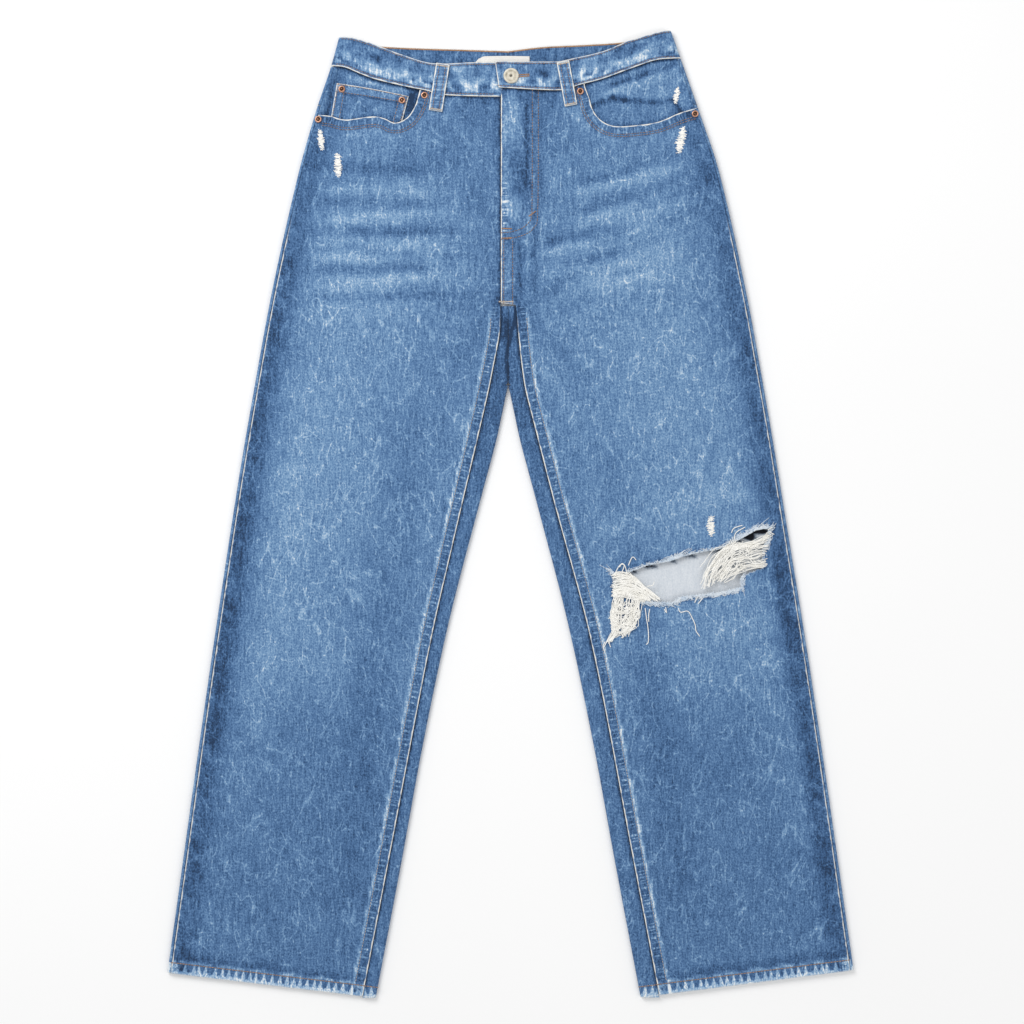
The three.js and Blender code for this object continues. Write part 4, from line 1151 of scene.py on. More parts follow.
def edgeWearGroup():
    # White on a rolled edge, and the short bars where a seam has puckered.
    sockets = [(label, "Float", 0.0) for label in edgeInputs]
    tree, given, result = newGroup("edgeWear", "ShaderNodeTree", sockets,
                                   [("White", "Float"), ("Bars", "Float")])
    patchy = noiseAlong(tree, given["Run"], 0.11, 3.0)
    reach = maths(tree, "MULTIPLY_ADD", patchy, 1.8, 0.05)
    near = ramped(tree, maths(tree, "SUBTRACT", given["Rim"], reach), 0.45, -0.45)
    white = maths(tree, "MULTIPLY", near, given["Worn"])
    white = maths(tree, "MULTIPLY", white, ramped(tree, patchy, 0.22, 0.5, (0.45, 1.0)))
    bars = ramped(tree, noiseAlong(tree, given["Run"], 0.34, 1.0), 0.50, 0.62)
    slanted = maths(tree, "MULTIPLY_ADD", given["Rim"], 0.35, maths(tree, "MULTIPLY", given["Run"], 0.12))
    broken = ramped(tree, noiseAlong(tree, slanted, 1.0), 0.3, 0.6, (0.4, 1.0))
    bars = maths(tree, "MULTIPLY", maths(tree, "MULTIPLY", bars, given["Ladder"]), broken)
    # the roped hem: dark cells between pale spikes that rise from a pale foot
    cells = link(tree, "ShaderNodeTexVoronoi", {"W": given["Run"], "Scale": 0.125, "Randomness": 0.75},
                 voronoi_dimensions="1D", feature="DISTANCE_TO_EDGE").outputs["Distance"]
    reach = ramped(tree, given["Rim"], 3.0, 11.0, (0.32, 0.12))
    spikes = ramped(tree, maths(tree, "SUBTRACT", cells, reach), 0.07, -0.07)
    level = maths(tree, "SUBTRACT", given["Rim"], 2.0)
    ragged = maths(tree, "MULTIPLY_ADD", noiseAlong(tree, given["Run"], 0.5, 2.0), 4.0, level)
    foot = ramped(tree, ragged, 4.4, 2.4)
    roping = maths(tree, "MULTIPLY", maths(tree, "MAXIMUM", spikes, foot), given["Roping"])
    bars = maths(tree, "MAXIMUM", bars, maths(tree, "MULTIPLY", roping, 1.2))
    tree.links.new(white, result["White"])
    tree.links.new(bars, result["Bars"])
    return tree


wornStreaks, weaveGrain, edgeWear = wornStreakGroup(), weaveGroup(), edgeWearGroup()

denimStops = [(0.00, (0.012, 0.036, 0.090)), (0.20, (0.034, 0.092, 0.212)), (0.42, (0.083, 0.178, 0.350)),
              (0.62, (0.168, 0.302, 0.487)), (0.80, (0.330, 0.465, 0.620)), (1.00, (0.720, 0.765, 0.790))]
# colours of the cloth's wrong side; its near-black first stops are reached only where painted shade is
# subtracted
wrongSideStops = [(0.0, (0.008, 0.010, 0.016)), (0.2, (0.16, 0.20, 0.26)), (0.45, (0.52, 0.57, 0.63)),
                  (1.0, (0.80, 0.82, 0.84))]
wornWhite = (0.80, 0.79, 0.74, 1.0)
denimLooks = {
    "body": {"base": 0.358, "streak": 0.205, "grain": 0.42, "fold": 0.11, "bump": 0.30, "lined": False},
    "band": {"base": 0.43, "streak": 0.15, "grain": 0.42, "fold": 0.22, "bump": 0.30, "lined": True},
    "hidden": {"base": 0.38, "streak": 0.20, "grain": 0.40, "fold": 0.12, "bump": 0.28, "lined": False},
}


def colourRamp(tree, value, stops):
    node = link(tree, "ShaderNodeValToRGB", {"Fac": value})
    ramp = node.color_ramp
    while len(ramp.elements) < len(stops):
        ramp.elements.new(0.5)
    for element, (place, colour) in zip(ramp.elements, stops):
        element.position = place
        element.color = (*colour, 1.0)
    return node.outputs["Color"]


def attributeValue(tree, name):
    return link(tree, "ShaderNodeAttribute", attribute_name=name).outputs["Fac"]


def newMaterial(name):
    material = bpy.data.materials.new(name)
    material.use_nodes = True
    tree = material.node_tree
    tree.nodes.clear()
    return material, tree


def colourMix(tree, factor, first, second):
    # In colour mode the two colours are the seventh and eighth inputs and the mix is the third output.
    return link(tree, "ShaderNodeMix", {0: factor, 6: first, 7: second}, data_type="RGBA").outputs[2]


def finishMaterial(tree, colour, roughness, bumps=None, fixed=None):
    # `bumps` is a height, a strength and a distance; `fixed` holds the shader's own constants.
    inputs = {"Base Color": colour, "Roughness": roughness, **(fixed or {})}
    if bumps:
        bumped = link(tree, "ShaderNodeBump", dict(zip(("Height", "Strength", "Distance"), bumps)))
        inputs["Normal"] = bumped.outputs["Normal"]
    shader = link(tree, "ShaderNodeBsdfPrincipled", inputs)
    link(tree, "ShaderNodeOutputMaterial", {"Surface": shader.outputs["BSDF"]})


def groupNode(tree, group, inputs):
    return link(tree, "ShaderNodeGroup", inputs, node_tree=group)


def denimMaterial(name, look):
    material, tree = newMaterial(name)
    place = link(tree, "ShaderNodeTexCoord").outputs["Object"]
    streaks = groupNode(tree, wornStreaks, {"Vector": place, "Width": 0.0165})
    weave = groupNode(tree, weaveGrain, {"Vector": place, "Scale": 680.0})
    edges = groupNode(tree, edgeWear, {label: attributeValue(tree, label.lower()) for label in edgeInputs})
    # the ramp position: wash and wear, with the painted light and shade that the tone attribute carries
    fadeAndShade = maths(tree, "ADD", attributeValue(tree, "tone"), look["base"])
    fadeAndShade = maths(tree, "MULTIPLY_ADD", streaks.outputs["Streaks"], look["streak"], fadeAndShade)
    fadeAndShade = maths(tree, "MULTIPLY_ADD", weave.outputs["Grain"], look["grain"], fadeAndShade)
    fold = maths(tree, "SUBTRACT", streaks.outputs["Fold"], 0.5)
    fadeAndShade = maths(tree, "MULTIPLY_ADD", fold, look["fold"], fadeAndShade)
    fadeAndShade = maths(tree, "MULTIPLY_ADD", attributeValue(tree, "ladder"), -0.03, fadeAndShade)
    fadeAndShade = maths(tree, "MULTIPLY_ADD", edges.outputs["Bars"], 0.40, fadeAndShade)
    colour = colourMix(tree, edges.outputs["White"], colourRamp(tree, fadeAndShade, denimStops), wornWhite)
    if not look["lined"]:
        pale = maths(tree, "MULTIPLY_ADD", weave.outputs["Grain"], 0.22, 0.62)
        pale = maths(tree, "SUBTRACT", pale, attributeValue(tree, "shade"))
        wrongSide = colourRamp(tree, pale, wrongSideStops)
        colour = colourMix(tree, ramped(tree, attributeValue(tree, "inner"), 0.35, 0.9), colour, wrongSide)
    height = maths(tree, "MULTIPLY_ADD", streaks.outputs["Streaks"], 0.3, weave.outputs["Height"])
    height = maths(tree, "MULTIPLY_ADD", edges.outputs["Bars"], 0.9, height)
    roughness = ramped(tree, weave.outputs["Height"], 0.2, 0.8, (0.95, 0.82))
    finishMaterial(tree, colour, roughness, (height, look["bump"], 0.0005),
                   {"Sheen Weight": 0.12, "Sheen Roughness": 0.6, "Specular IOR Level": 0.2})
    return material


def threadMaterial(name, dark, pale, scale=900.0):
    material, tree = newMaterial(name)
    place = link(tree, "ShaderNodeTexCoord").outputs["Object"]
    tint = noise(tree, place, scale * 0.12, 3.0)
    fuzz = noise(tree, place, scale, 2.0)
    value = maths(tree, "MULTIPLY_ADD", fuzz, 0.5, maths(tree, "MULTIPLY", tint, 0.5))
    colour = colourRamp(tree, value, [(0.3, dark), (0.7, pale)])
    roughness = ramped(tree, fuzz, 0.3, 0.7, (0.7, 0.9))
    finishMaterial(tree, colour, roughness, (fuzz, 0.4, 0.0003), {"Specular IOR Level": 0.3})
    return material


def labelMaterial():
    material, tree = newMaterial("label_weave")
    place = link(tree, "ShaderNodeTexCoord").outputs["Object"]
    ribs = link(tree, "ShaderNodeTexWave", {
        "Vector": place, "Scale": 160.0, "Distortion": 1.5, "Detail": 1.0}, bands_direction="Y")
    weave = groupNode(tree, weaveGrain, {"Vector": place, "Scale": 800.0})
    value = maths(tree, "MULTIPLY_ADD", ribs.outputs["Fac"], 0.15, 0.5)
    value = maths(tree, "MULTIPLY_ADD", weave.outputs["Grain"], 0.25, value)
    colour = colourRamp(tree, value, [(0.1, (0.60, 0.59, 0.56)), (0.8, (0.83, 0.81, 0.77))])
    finishMaterial(tree, colour, 0.85, (value, 0.3, 0.0004))
    return material


def metalMaterial(name, deep, pale, metallic, rough):
    material, tree = newMaterial(name)
    place = link(tree, "ShaderNodeTexCoord").outputs["Object"]
    cloudy = noise(tree, place, 260.0, 3.0)
    fine = noise(tree, place, 1400.0, 2.0)
    value = maths(tree, "MULTIPLY_ADD", fine, 0.3, maths(tree, "MULTIPLY", cloudy, 0.7))
    value = maths(tree, "SUBTRACT", value, attributeValue(tree, "shade"))
    colour = colourRamp(tree, value, [(0.0, tuple(0.12 * c for c in deep)), (0.35, deep), (0.65, pale)])
    roughness = ramped(tree, fine, 0.3, 0.7, rough)
    finishMaterial(tree, colour, roughness, (fine, 0.15, 0.0002), {"Metallic": metallic})
    return material


denimBody = denimMaterial("denim_body", denimLooks["body"])
denimBand = denimMaterial("denim_band", denimLooks["band"])
denimHidden = denimMaterial("denim_hidden", denimLooks["hidden"])
brownThread = threadMaterial("thread_brown", (0.085, 0.068, 0.068), (0.46, 0.310, 0.225))
copperThread = threadMaterial("thread_copper", (0.26, 0.125, 0.060), (0.66, 0.40, 0.21))
creamThread = threadMaterial("thread_cream", (0.42, 0.36, 0.30), (0.80, 0.72, 0.62))
hemThread = threadMaterial("thread_hem", (0.130, 0.100, 0.092), (0.43, 0.300, 0.240))
paleThread = threadMaterial("thread_pale", (0.20, 0.19, 0.20), (0.60, 0.56, 0.52))
whiteThread = threadMaterial("thread_white", (0.84, 0.82, 0.76), (0.97, 0.965, 0.94))
frayThread = threadMaterial("thread_fray", (0.42, 0.54, 0.68), (0.88, 0.90, 0.91))
labelCloth = labelMaterial()
buttonMetal = metalMaterial("button_face", (0.50, 0.46, 0.37), (0.76, 0.72, 0.61), 0.0, (0.30, 0.42))
copper = metalMaterial("rivet_copper", (0.42, 0.20, 0.12), (0.75, 0.45, 0.32), 0.75, (0.30, 0.5))
print("materials ready")


# geometry nodes: stitches, threads and rivets
def growGroup(name, inputs):
    guide = ("Geometry", "Geometry", None)
    return newGroup(name, "GeometryNodeTree", [guide, *inputs], [("Geometry", "Geometry")])


def placeAndFinish(tree, result, geometry, material):
    real = link(tree, "GeometryNodeRealizeInstances", {"Geometry": geometry})
    finished = link(tree, "GeometryNodeSetMaterial", {"Geometry": real.outputs[0], "Material": material})
    tree.links.new(finished.outputs[0], result[0])
    return tree


def stitchTree():
    # One bead a stitch, set along the path and turned a little by chance.
    tree, given, result = growGroup("stitchesAlongPath", [
        ("Pitch", "Float", 0.0033), ("Length", "Float", 0.0025), ("Width", "Float", 0.0006),
        ("Turn", "Float", 0.0), ("Jitter", "Float", 0.12), ("Seed", "Int", 1), ("Thread", "Material", None)])
    sphere = link(tree, "GeometryNodeMeshUVSphere", {"Segments": 6, "Rings": 4, "Radius": 0.5})
    size = link(tree, "ShaderNodeCombineXYZ", {
        "X": given["Length"], "Y": given["Width"], "Z": given["Width"]})
    bead = link(tree, "GeometryNodeTransform", {"Geometry": sphere.outputs["Mesh"], "Scale": size.outputs[0]})
    points = link(tree, "GeometryNodeCurveToPoints", {"Curve": given["Geometry"], "Length": given["Pitch"]},
                  mode="LENGTH").outputs
    facing = link(tree, "FunctionNodeAlignRotationToVector", {"Vector": points["Tangent"]}, axis="X")
    least = maths(tree, "MULTIPLY", given["Jitter"], -1.0)
    sway = link(tree, "FunctionNodeRandomValue", {
        "Min": least, "Max": given["Jitter"], "Seed": given["Seed"]}, data_type="FLOAT")
    turn = link(tree, "ShaderNodeCombineXYZ", {"Z": maths(tree, "ADD", given["Turn"], sway.outputs[1])})
    spin = link(tree, "FunctionNodeEulerToRotation", {0: turn.outputs[0]})
    turned = link(tree, "FunctionNodeRotateRotation", {0: facing.outputs[0], 1: spin.outputs[0]},
                  rotation_space="LOCAL")
    placed = link(tree, "GeometryNodeInstanceOnPoints", {
        "Points": points["Points"], "Instance": bead.outputs["Geometry"], "Rotation": turned.outputs[0]})
    return placeAndFinish(tree, result, placed.outputs["Instances"], given["Thread"])


def threadTree():
    tree, given, result = growGroup("threadTubes", [("Radius", "Float", 0.0003), ("Sides", "Int", 5),
                                                    ("Thread", "Material", None)])
    ring = link(tree, "GeometryNodeCurvePrimitiveCircle", {
        "Resolution": given["Sides"], "Radius": given["Radius"]})
    swept = link(tree, "GeometryNodeCurveToMesh", {
        "Curve": given["Geometry"], "Profile Curve": ring.outputs["Curve"], "Fill Caps": True})
    return placeAndFinish(tree, result, swept.outputs[0], given["Thread"])


def rivetTree():
    tree, given, result = growGroup("rivetsAtPoints", [("Shape", "Object", None), ("Seed", "Int", None),
                                                       ("Metal", "Material", None)])
    shape = link(tree, "GeometryNodeObjectInfo", {"Object": given["Shape"]})
    sway = link(tree, "FunctionNodeRandomValue", {"Max": (0.0, 0.0, math.tau), "Seed": given["Seed"]},
                data_type="FLOAT_VECTOR")
    spin = link(tree, "FunctionNodeEulerToRotation", {0: sway.outputs[0]})
    placed = link(tree, "GeometryNodeInstanceOnPoints", {
        "Points": given["Geometry"], "Instance": shape.outputs["Geometry"], "Rotation": spin.outputs[0]})
    return placeAndFinish(tree, result, placed.outputs["Instances"], given["Metal"])


stitches, threads = stitchTree(), threadTree()


def grown(name, data, tree, values):
    # Runs a tree on a curve or on points and keeps the result as a plain mesh.
    guide = bpy.data.objects.new(name + "_guide", data)
    bpy.context.scene.collection.objects.link(guide)
    modifier = guide.modifiers.new("nodes", "NODES")
    modifier.node_group = tree
    for item in tree.interface.items_tree:
        if item.in_out == "INPUT" and item.name in values:
            modifier[item.identifier] = values[item.name]
    mesh = bpy.data.meshes.new_from_object(guide.evaluated_get(bpy.context.evaluated_depsgraph_get()))
    guide.modifiers.remove(modifier)
    bpy.data.objects.remove(guide)
    mesh.polygons.foreach_set("use_smooth", [True] * len(mesh.polygons))
    mesh.name = name
    piece = bpy.data.objects.new(name, mesh)
    bpy.context.scene.collection.objects.link(piece)
    return piece


def alongPaths(name, paths, tree, values):
    curve = bpy.data.curves.new(name + "_paths", "CURVE")
    curve.dimensions = "3D"
    for path in paths:
        spline = curve.splines.new("POLY")
        spline.points.add(len(path) - 1)
        spots = np.concatenate([np.asarray(path, float)[:, :3] * mm, np.ones((len(path), 1))], axis=1)
        spline.points.foreach_set("co", spots.ravel())
    piece = grown(name, curve, tree, values)
    bpy.data.curves.remove(curve)
    return piece


def atPoints(name, spots, tree, values):
    dots = bpy.data.meshes.new(name + "_spots")
    dots.from_pydata((np.array(spots) * mm).tolist(), [], [])
    piece = grown(name, dots, tree, values)
    bpy.data.meshes.remove(dots)
    return piece


def joined(name, parts):
    for part in parts:
        part.select_set(True)
    with bpy.context.temp_override(active_object=parts[0], selected_editable_objects=parts,
                                   selected_objects=parts):
        bpy.ops.object.join()
    parts[0].name = name
    parts[0].select_set(False)
    return parts[0]


def declare(piece, nodes=()):
    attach(piece, "root")
    if nodes:
        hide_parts(*nodes)


# build the cloth
for side in sides:
    name = side["name"]
    front = frontPanel(side, denimBody)
    declare(front, [f"front_{name}_leg"])
    back = backPanel(side, denimBody)
    declare(back, [f"back_{name}_leg", f"back_{name}_side_turn", f"back_{name}_inner_turn"])
    top = yokePiece(side, denimHidden)
    declare(top, [f"yoke_{name}"])
    band = waistband(side, denimBand)
    declare(band, [f"waistband_{name}"])
    lining = facingPiece(side, denimBody)
    declare(lining, [f"pocket_facing_{name}"])
    pocket = backPocket(side, denimHidden)
    declare(pocket, [f"back_pocket_{name}"])
    print(f"{name} side: cloth done")
coin = coinPiece(denimBody)
declare(coin, ["coin_pocket"])
shield = shieldPiece(denimHidden)
declare(shield, ["fly_shield"])
for name, node, side, top, foot, width in loopStyle["front"]:
    declare(frontLoop(name, side, top, foot, width, denimBand), [node])
for name, node, x, foot, top in loopStyle["back"]:
    declare(backLoop(name, x, foot, top, denimBand), [node])
label = labelPiece(labelCloth)
declare(label, ["waist_label"])
print("loops, pockets and label done")


# stitching
stitchStyle = {
    "pitch": 3.2, "length": 3.05, "width": 0.86, "lift": 0.2, "onSheet": 0.15, "under": 0.05,
    "mouthInsets": (8.7, 11.2), "hemInset": 11.9, "inseamInset": 10.6,
}


def frontZ(side, x, y):
    return frontFields(side, np.asarray(x, float), np.asarray(y, float))["z"]


def onFront(side, path):
    path = evenPath(path, 3.0)
    return np.column_stack([path, frontZ(side, path[:, 0], path[:, 1]) + stitchStyle["lift"]])


def alongBand(side, inset, start, end, fromTop):
    at = np.linspace(start, end, 90)
    v = 1 - inset / bandHeight if fromTop else inset / bandHeight
    x, y = toX(side, at), bandPoint(side, at, v)
    lift = bandFields(x, y, np.full(x.shape, v), at)[0]
    return np.column_stack([x, y, side["bandLevel"](at) + lift + stitchStyle["lift"]])


faceRuns, hemRuns, seamRuns = [], [], []
for side in sides:
    # moving a path by `inward` takes it in from the mouth, and by its opposite in from the hem and inseam
    edges, inward = side["edges"], side["direction"]
    for inset in stitchStyle["mouthInsets"]:
        path = besidePath(evenPath(edges["mouth"], 2.0), inward * inset)
        faceRuns.append(onFront(side, path[3:]))
    hemLine = evenPath(edges["hem"], 4.0)
    hemRuns.append(onFront(side, besidePath(hemLine, -inward * stitchStyle["hemInset"])))
    strip = np.linspace(side["inseam"](-520) - 0.3, innerFold(-520) + 0.8, 8)
    stripX, stripY = toX(side, strip), legLineY(side, strip) + stitchStyle["hemInset"]
    hemRuns.append(np.column_stack([stripX, stripY, faceBase(stripX, stripY) + 0.4]))
    inseamLine = evenPath(edges["inseam"], 4.0)
    seamRuns.append(onFront(side, besidePath(inseamLine, -inward * stitchStyle["inseamInset"])[4:-4]))
    start, end = side["bandStitch"]
    faceRuns.append(alongBand(side, 2.6, start + 3, end + 6, False))
    faceRuns.append(alongBand(side, 2.3, start + 2, end, True))
# the fly's two curved rows, then the centre seam below it
flyRows = [
    [[30.6, 466], [30.6, 400], [30.2, 345], [29.2, 321.5], [26.6, 316.5], [21.5, 310.8], [12.8, 306.5],
     [-1, 303], [-9.8, 302.4]],
    [[24.0, 466], [24.0, 400], [23.7, 345], [23.1, 327], [20.5, 321.5], [15, 316], [8, 312.6],
     [-1, 310.3], [-9.8, 309.6]],
]
faceRuns += [onFront(left, curveThrough(row, 8)) for row in flyRows]
for x in (-7.4, 2.4):
    faceRuns.append(onFront(left, [[x, 300], [x, 262], [x, 232]]))


def onSheet(x, y, level):
    return np.column_stack([x, y, level(x, y) + stitchStyle["onSheet"]])


# coin pocket and belt loops
for u in (0.022, 0.118, 0.882, 0.978):
    faceRuns.append(onSheet(*coinPoint(np.full(30, u), np.linspace(0.02, 0.98, 30)), coinLevel))
for v in (0.80, 0.975):
    faceRuns.append(onSheet(*coinPoint(np.linspace(0.02, 0.98, 40), np.full(40, v)), coinLevel))
for name, node, side, top, foot, width in loopStyle["front"]:
    point, level = frontLoopPoint(top, foot, width), frontLoopLevel(side, top, foot)
    for u in (0.26, 0.74):
        faceRuns.append(onSheet(*point(np.full(40, u), np.linspace(0.06, 0.94, 40)), level))

# underside: back pockets, yoke seams, waistband and centre seam
underRuns = []
under = stitchStyle["under"]
for side in sides:
    for inset in (1.8, 8.0):
        u0, v0 = inset / pocketStyle["wide"], inset / pocketStyle["stitchHigh"]
        outline = [(u0, 1 - v0), (u0, v0), (0.5, v0), (1 - u0, v0), (1 - u0, 1 - v0)]
        path = evenPath([pocketPoint(side, u, v) for u, v in outline], 4.0)
        underRuns.append(np.column_stack([path, np.full(len(path), under + 0.02)]))
    across = np.linspace(2, 205, 60)
    for drop in (2.0, 8.5):
        y = side["yokeSeam"](across) - drop
        underRuns.append(np.column_stack([toX(side, across), y, underZ(y) + under]))
    across = np.linspace(2, 176, 60)
    for rise in (3.0, 33.5):
        y = side["backSeam"](across) + rise
        underRuns.append(np.column_stack([toX(side, across), y, np.full(60, levels["lift"] + under)]))
for offset in (3.0, 9.5):
    path = evenPath([[centreX + offset, 238], [centreX + offset, 398]], 4.0)
    underRuns.append(np.column_stack([path, underZ(path[:, 1]) + under]))

commonStitch = {"Pitch": stitchStyle["pitch"] * mm, "Length": stitchStyle["length"] * mm,
                "Width": stitchStyle["width"] * mm, "Turn": 0.0, "Jitter": 0.04}
stitchRows = [
    ("stitches_front", faceRuns, {"Seed": 3, "Thread": brownThread}),
    ("stitches_hem", hemRuns, {"Length": 0.0035, "Width": 0.00135, "Seed": 5, "Thread": hemThread}),
    ("stitches_inseam", seamRuns, {"Width": 0.0009, "Seed": 6, "Thread": paleThread}),
    ("stitches_back", underRuns, {"Seed": 7, "Thread": brownThread}),
]
for name, runs, values in stitchRows:
    declare(alongPaths(name, runs, stitches, {**commonStitch, **values}))

# bartacks: dense short stitches across a line
tackStyle = {
    "pitch": 0.55, "width": 0.55, "lift": 0.25, "points": 12, "crotch": (-12.6, 234.0, 3.0, 234.0),
    "fly": [(20.2, 327.8, 27.6, 333.2), (-9.6, 314.4, 1.2, 314.0), (-9.6, 303.6, 1.2, 304.0)],
}


def tackPath(x0, y0, x1, y1, level):
    x, y = np.linspace([x0, y0], [x1, y1], tackStyle["points"]).T
    return np.column_stack([x, y, level(x, y) + tackStyle["lift"]])


leftLevel = lambda x, y: frontZ(left, x, y)
creamTacks, copperTacks = [], []
for name, node, side, top, foot, width in loopStyle["front"]:
    point, level = frontLoopPoint(top, foot, width), frontLoopLevel(side, top, foot)
    for v in (0.955, 0.035):
        x, y = point(np.linspace(0.08, 0.92, tackStyle["points"]), np.full(tackStyle["points"], v))
        creamTacks.append(np.column_stack([x, y, level(x, y) + tackStyle["lift"]]))
copperTacks += [tackPath(*ends, leftLevel) for ends in tackStyle["fly"]]
creamTacks.append(tackPath(*tackStyle["crotch"], leftLevel))
# the two lips of the buttonhole
holeLevel = lambda x, y: 0 * x + levels["overlapTop"] + 0.1
for offset in (1.1, -1.1):
    copperTacks.append(tackPath(8.6, 481.7 + offset, 20.5, 482.6 + offset * 0.8, holeLevel))
tackValues = {"Pitch": tackStyle["pitch"] * mm, "Length": 0.0020, "Width": tackStyle["width"] * mm,
              "Turn": math.pi / 2, "Jitter": 0.25}
tacks = joined("bartacks", [
    alongPaths("tacks_cream", creamTacks, stitches, dict(tackValues, Seed=11, Thread=creamThread)),
    alongPaths("tacks_copper", copperTacks, stitches,
               dict(tackValues, Seed=13, Length=0.0016, Thread=copperThread))])
declare(tacks)

# edging thread that shows along the back of the waistband's top
edging = []
for side in sides:
    across = np.linspace(0.5, 150, 100)
    z = np.full(len(across), levels["lift"] + cloth["band"] + 0.1)
    edging.append(np.column_stack([toX(side, across), side["backTop"](across) - 0.9, z]))
edgingValues = dict(tackValues, Pitch=0.0009, Length=0.0022, Width=0.0009, Seed=17, Thread=copperThread)
edgingPiece = alongPaths("stitches_back_top", edging, stitches, edgingValues)
declare(edgingPiece)
print("stitching done")


# button and rivets
def turnedMesh(name, profile, spots, steps, material, shade):
    # A lathe shape at each spot; the profile runs from the foot's centre to the top's centre.
    radii, heights = np.array(profile, float)[1:-1].T
    angles = 2 * math.pi * np.arange(steps) / steps
    vertices, faces, shades = [], [], []
    for x, y, z in spots:
        start = len(vertices)
        vertices.append((x, y, z + profile[0][1]))
        shades.append(0)
        for r, h in zip(radii, heights):
            vertices += [(x + r * math.cos(a), y + r * math.sin(a), z + h) for a in angles]
            shades += [shade(r, h)] * steps
        vertices.append((x, y, z + profile[-1][1]))
        shades.append(shade(0, profile[-1][1]))
        last = len(vertices) - 1
        for k in range(steps):
            n = (k + 1) % steps
            faces.append((start, start + 1 + n, start + 1 + k))
            for ring in range(len(radii) - 1):
                a, b = start + 1 + ring * steps, start + 1 + (ring + 1) * steps
                faces.append((a + k, a + n, b + n, b + k))
            top = start + 1 + (len(radii) - 1) * steps
            faces.append((top + k, top + n, last))
    return addObject(name, vertices, faces, {"shade": shades}, material)


buttonStyle = {"centre": (0.7, 481.7), "foot": 7.6, "cap": 2.5, "steps": 56}
cap = buttonStyle["cap"]
buttonProfile = [
    (0, 0), (3, 0), (3, cap - 0.1), (7.2, cap), (8.1, cap + 0.3), (8.5, cap + 0.9), (8.4, cap + 1.5),
    (7.9, cap + 2.0), (7.2, cap + 2.25), (6.5, cap + 2.15), (5.9, cap + 1.8), (5.3, cap + 1.6),
    (3.4, cap + 1.6), (3.0, cap + 1.75), (2.6, cap + 1.8), (2.2, cap + 1.55), (1.6, cap + 1.3),
    (1.1, cap + 0.8), (0.6, cap + 0.55), (0, cap + 0.5),
]


def buttonShade(radius, height):
    # Darker in the middle pit, where the button has a dark mark, and painted shade on the pit's slope, in the
    # groove inside the rim and round the inner ring.
    if height > 1 and radius < 1.7:
        return 0.9 if radius < 0.8 else 0.3
    if 5.2 < radius < 6.0:
        return 0.18
    return 0.10 if abs(radius - 3.0) < 0.1 else 0


button = turnedMesh("shank_button", buttonProfile, [(*buttonStyle["centre"], buttonStyle["foot"])],
                    buttonStyle["steps"], buttonMetal, buttonShade)
declare(button, ["button"])

# rivets: pocket mouths, with the two of the coin pocket third and fourth
rivetStyle = {
    "spots": [(-211.4, 434.4), (-94.6, 460.9), (-185.6, 468.0), (-119.4, 455.8), (76.8, 465.2),
              (203.0, 440.4)],
    "onCoinPocket": (2, 3), "steps": 28,
}
rivetProfile = [(0, 0), (3.7, 0), (3.8, 0.35), (3.6, 0.8), (3.1, 1.1), (2.5, 1.12), (2.0, 0.9), (1.7, 0.55),
                (1.4, 0.5), (1.2, 0.85), (0.7, 0.95), (0, 0.95)]
rivetSpots = []
for i, (x, y) in enumerate(rivetStyle["spots"]):
    px, py = np.array([x]), np.array([y])
    if i in rivetStyle["onCoinPocket"]:
        z = coinLevel(px, py)[0] + 0.2
    else:
        z = frontZ(right if x < 0 else left, px, py)[0] + 0.15
    rivetSpots.append((x, y, float(z)))
oneRivet = turnedMesh("rivet_shape", rivetProfile, [(0, 0, 0)], rivetStyle["steps"], copper,
                      lambda radius, height: 0.75 if 1.2 < radius < 2.1 else 0.4 if radius < 1.3 else 0)
rivets = atPoints("rivets", rivetSpots, rivetTree(), {"Shape": oneRivet, "Metal": copper, "Seed": 4})
bpy.data.objects.remove(oneRivet)
declare(rivets, [f"rivet_{i}" for i in range(1, 7)])
print("metal done")


# bared threads of the torn knee, frayed edges and worn-through patches
random = np.random.default_rng(23)
threadStyle = {"bare": 0.42, "loose": 0.48, "fray": 0.27, "patch": 0.36, "patchPitch": 0.30}
# x, y and radius of the small openings the threads part round
threadEyes = [
    (246, -55.5, 2.8), (232, -57, 2.2), (240, -48, 1.9), (252.5, -58, 2.2), (228, -68, 1.6),
    (262, -45, 1.5), (120, -104, 2.0), (125.5, -117, 2.3), (132, -109, 1.6), (121, -127, 1.8),
    (135, -119, 1.3), (129, -76, 1.0), (144, -88, 1.4),
]


def parted(path):
    for x, y, radius in threadEyes:
        away = path - [x, y]
        distance = np.maximum(np.hypot(*away.T), 0.05)
        push = radius * np.exp(-(distance / (1.3 * radius)) ** 2)
        path = path + away / distance[:, None] * push[:, None]
    return path


def resampled(path, at):
    return np.stack([np.interp(at, np.linspace(0, 1, len(path)), path[:, k]) for k in (0, 1)], axis=1)


def guided(guides, count, points, spread, heights, length):
    # Threads spread between given guide lines.
    every = np.linspace(0, 1, points)
    lines = [resampled(curveThrough(guide, 12), every) for guide in guides]
    result = []
    for _ in range(count):
        spot = random.uniform(0, len(lines) - 1)
        i = min(int(spot), len(lines) - 2)
        path = lerp(lines[i], lines[i + 1], spot - i)
        wander = np.column_stack([random.normal(0, spread, 8) for _ in (0, 1)])
        path = parted(path + resampled(wander, every))
        first = random.uniform(0, 1 - length[0]) * random.integers(0, 2)
        last = min(1.0, first + random.uniform(*length))
        path = resampled(path, np.linspace(first, last, points))
        lift = random.uniform(*heights) + 0.35 * np.sin(np.linspace(0, random.uniform(3, 9), points))
        z = faceBase(path[:, 0], path[:, 1]) + lift
        result.append(np.column_stack([path, z]))
    return result


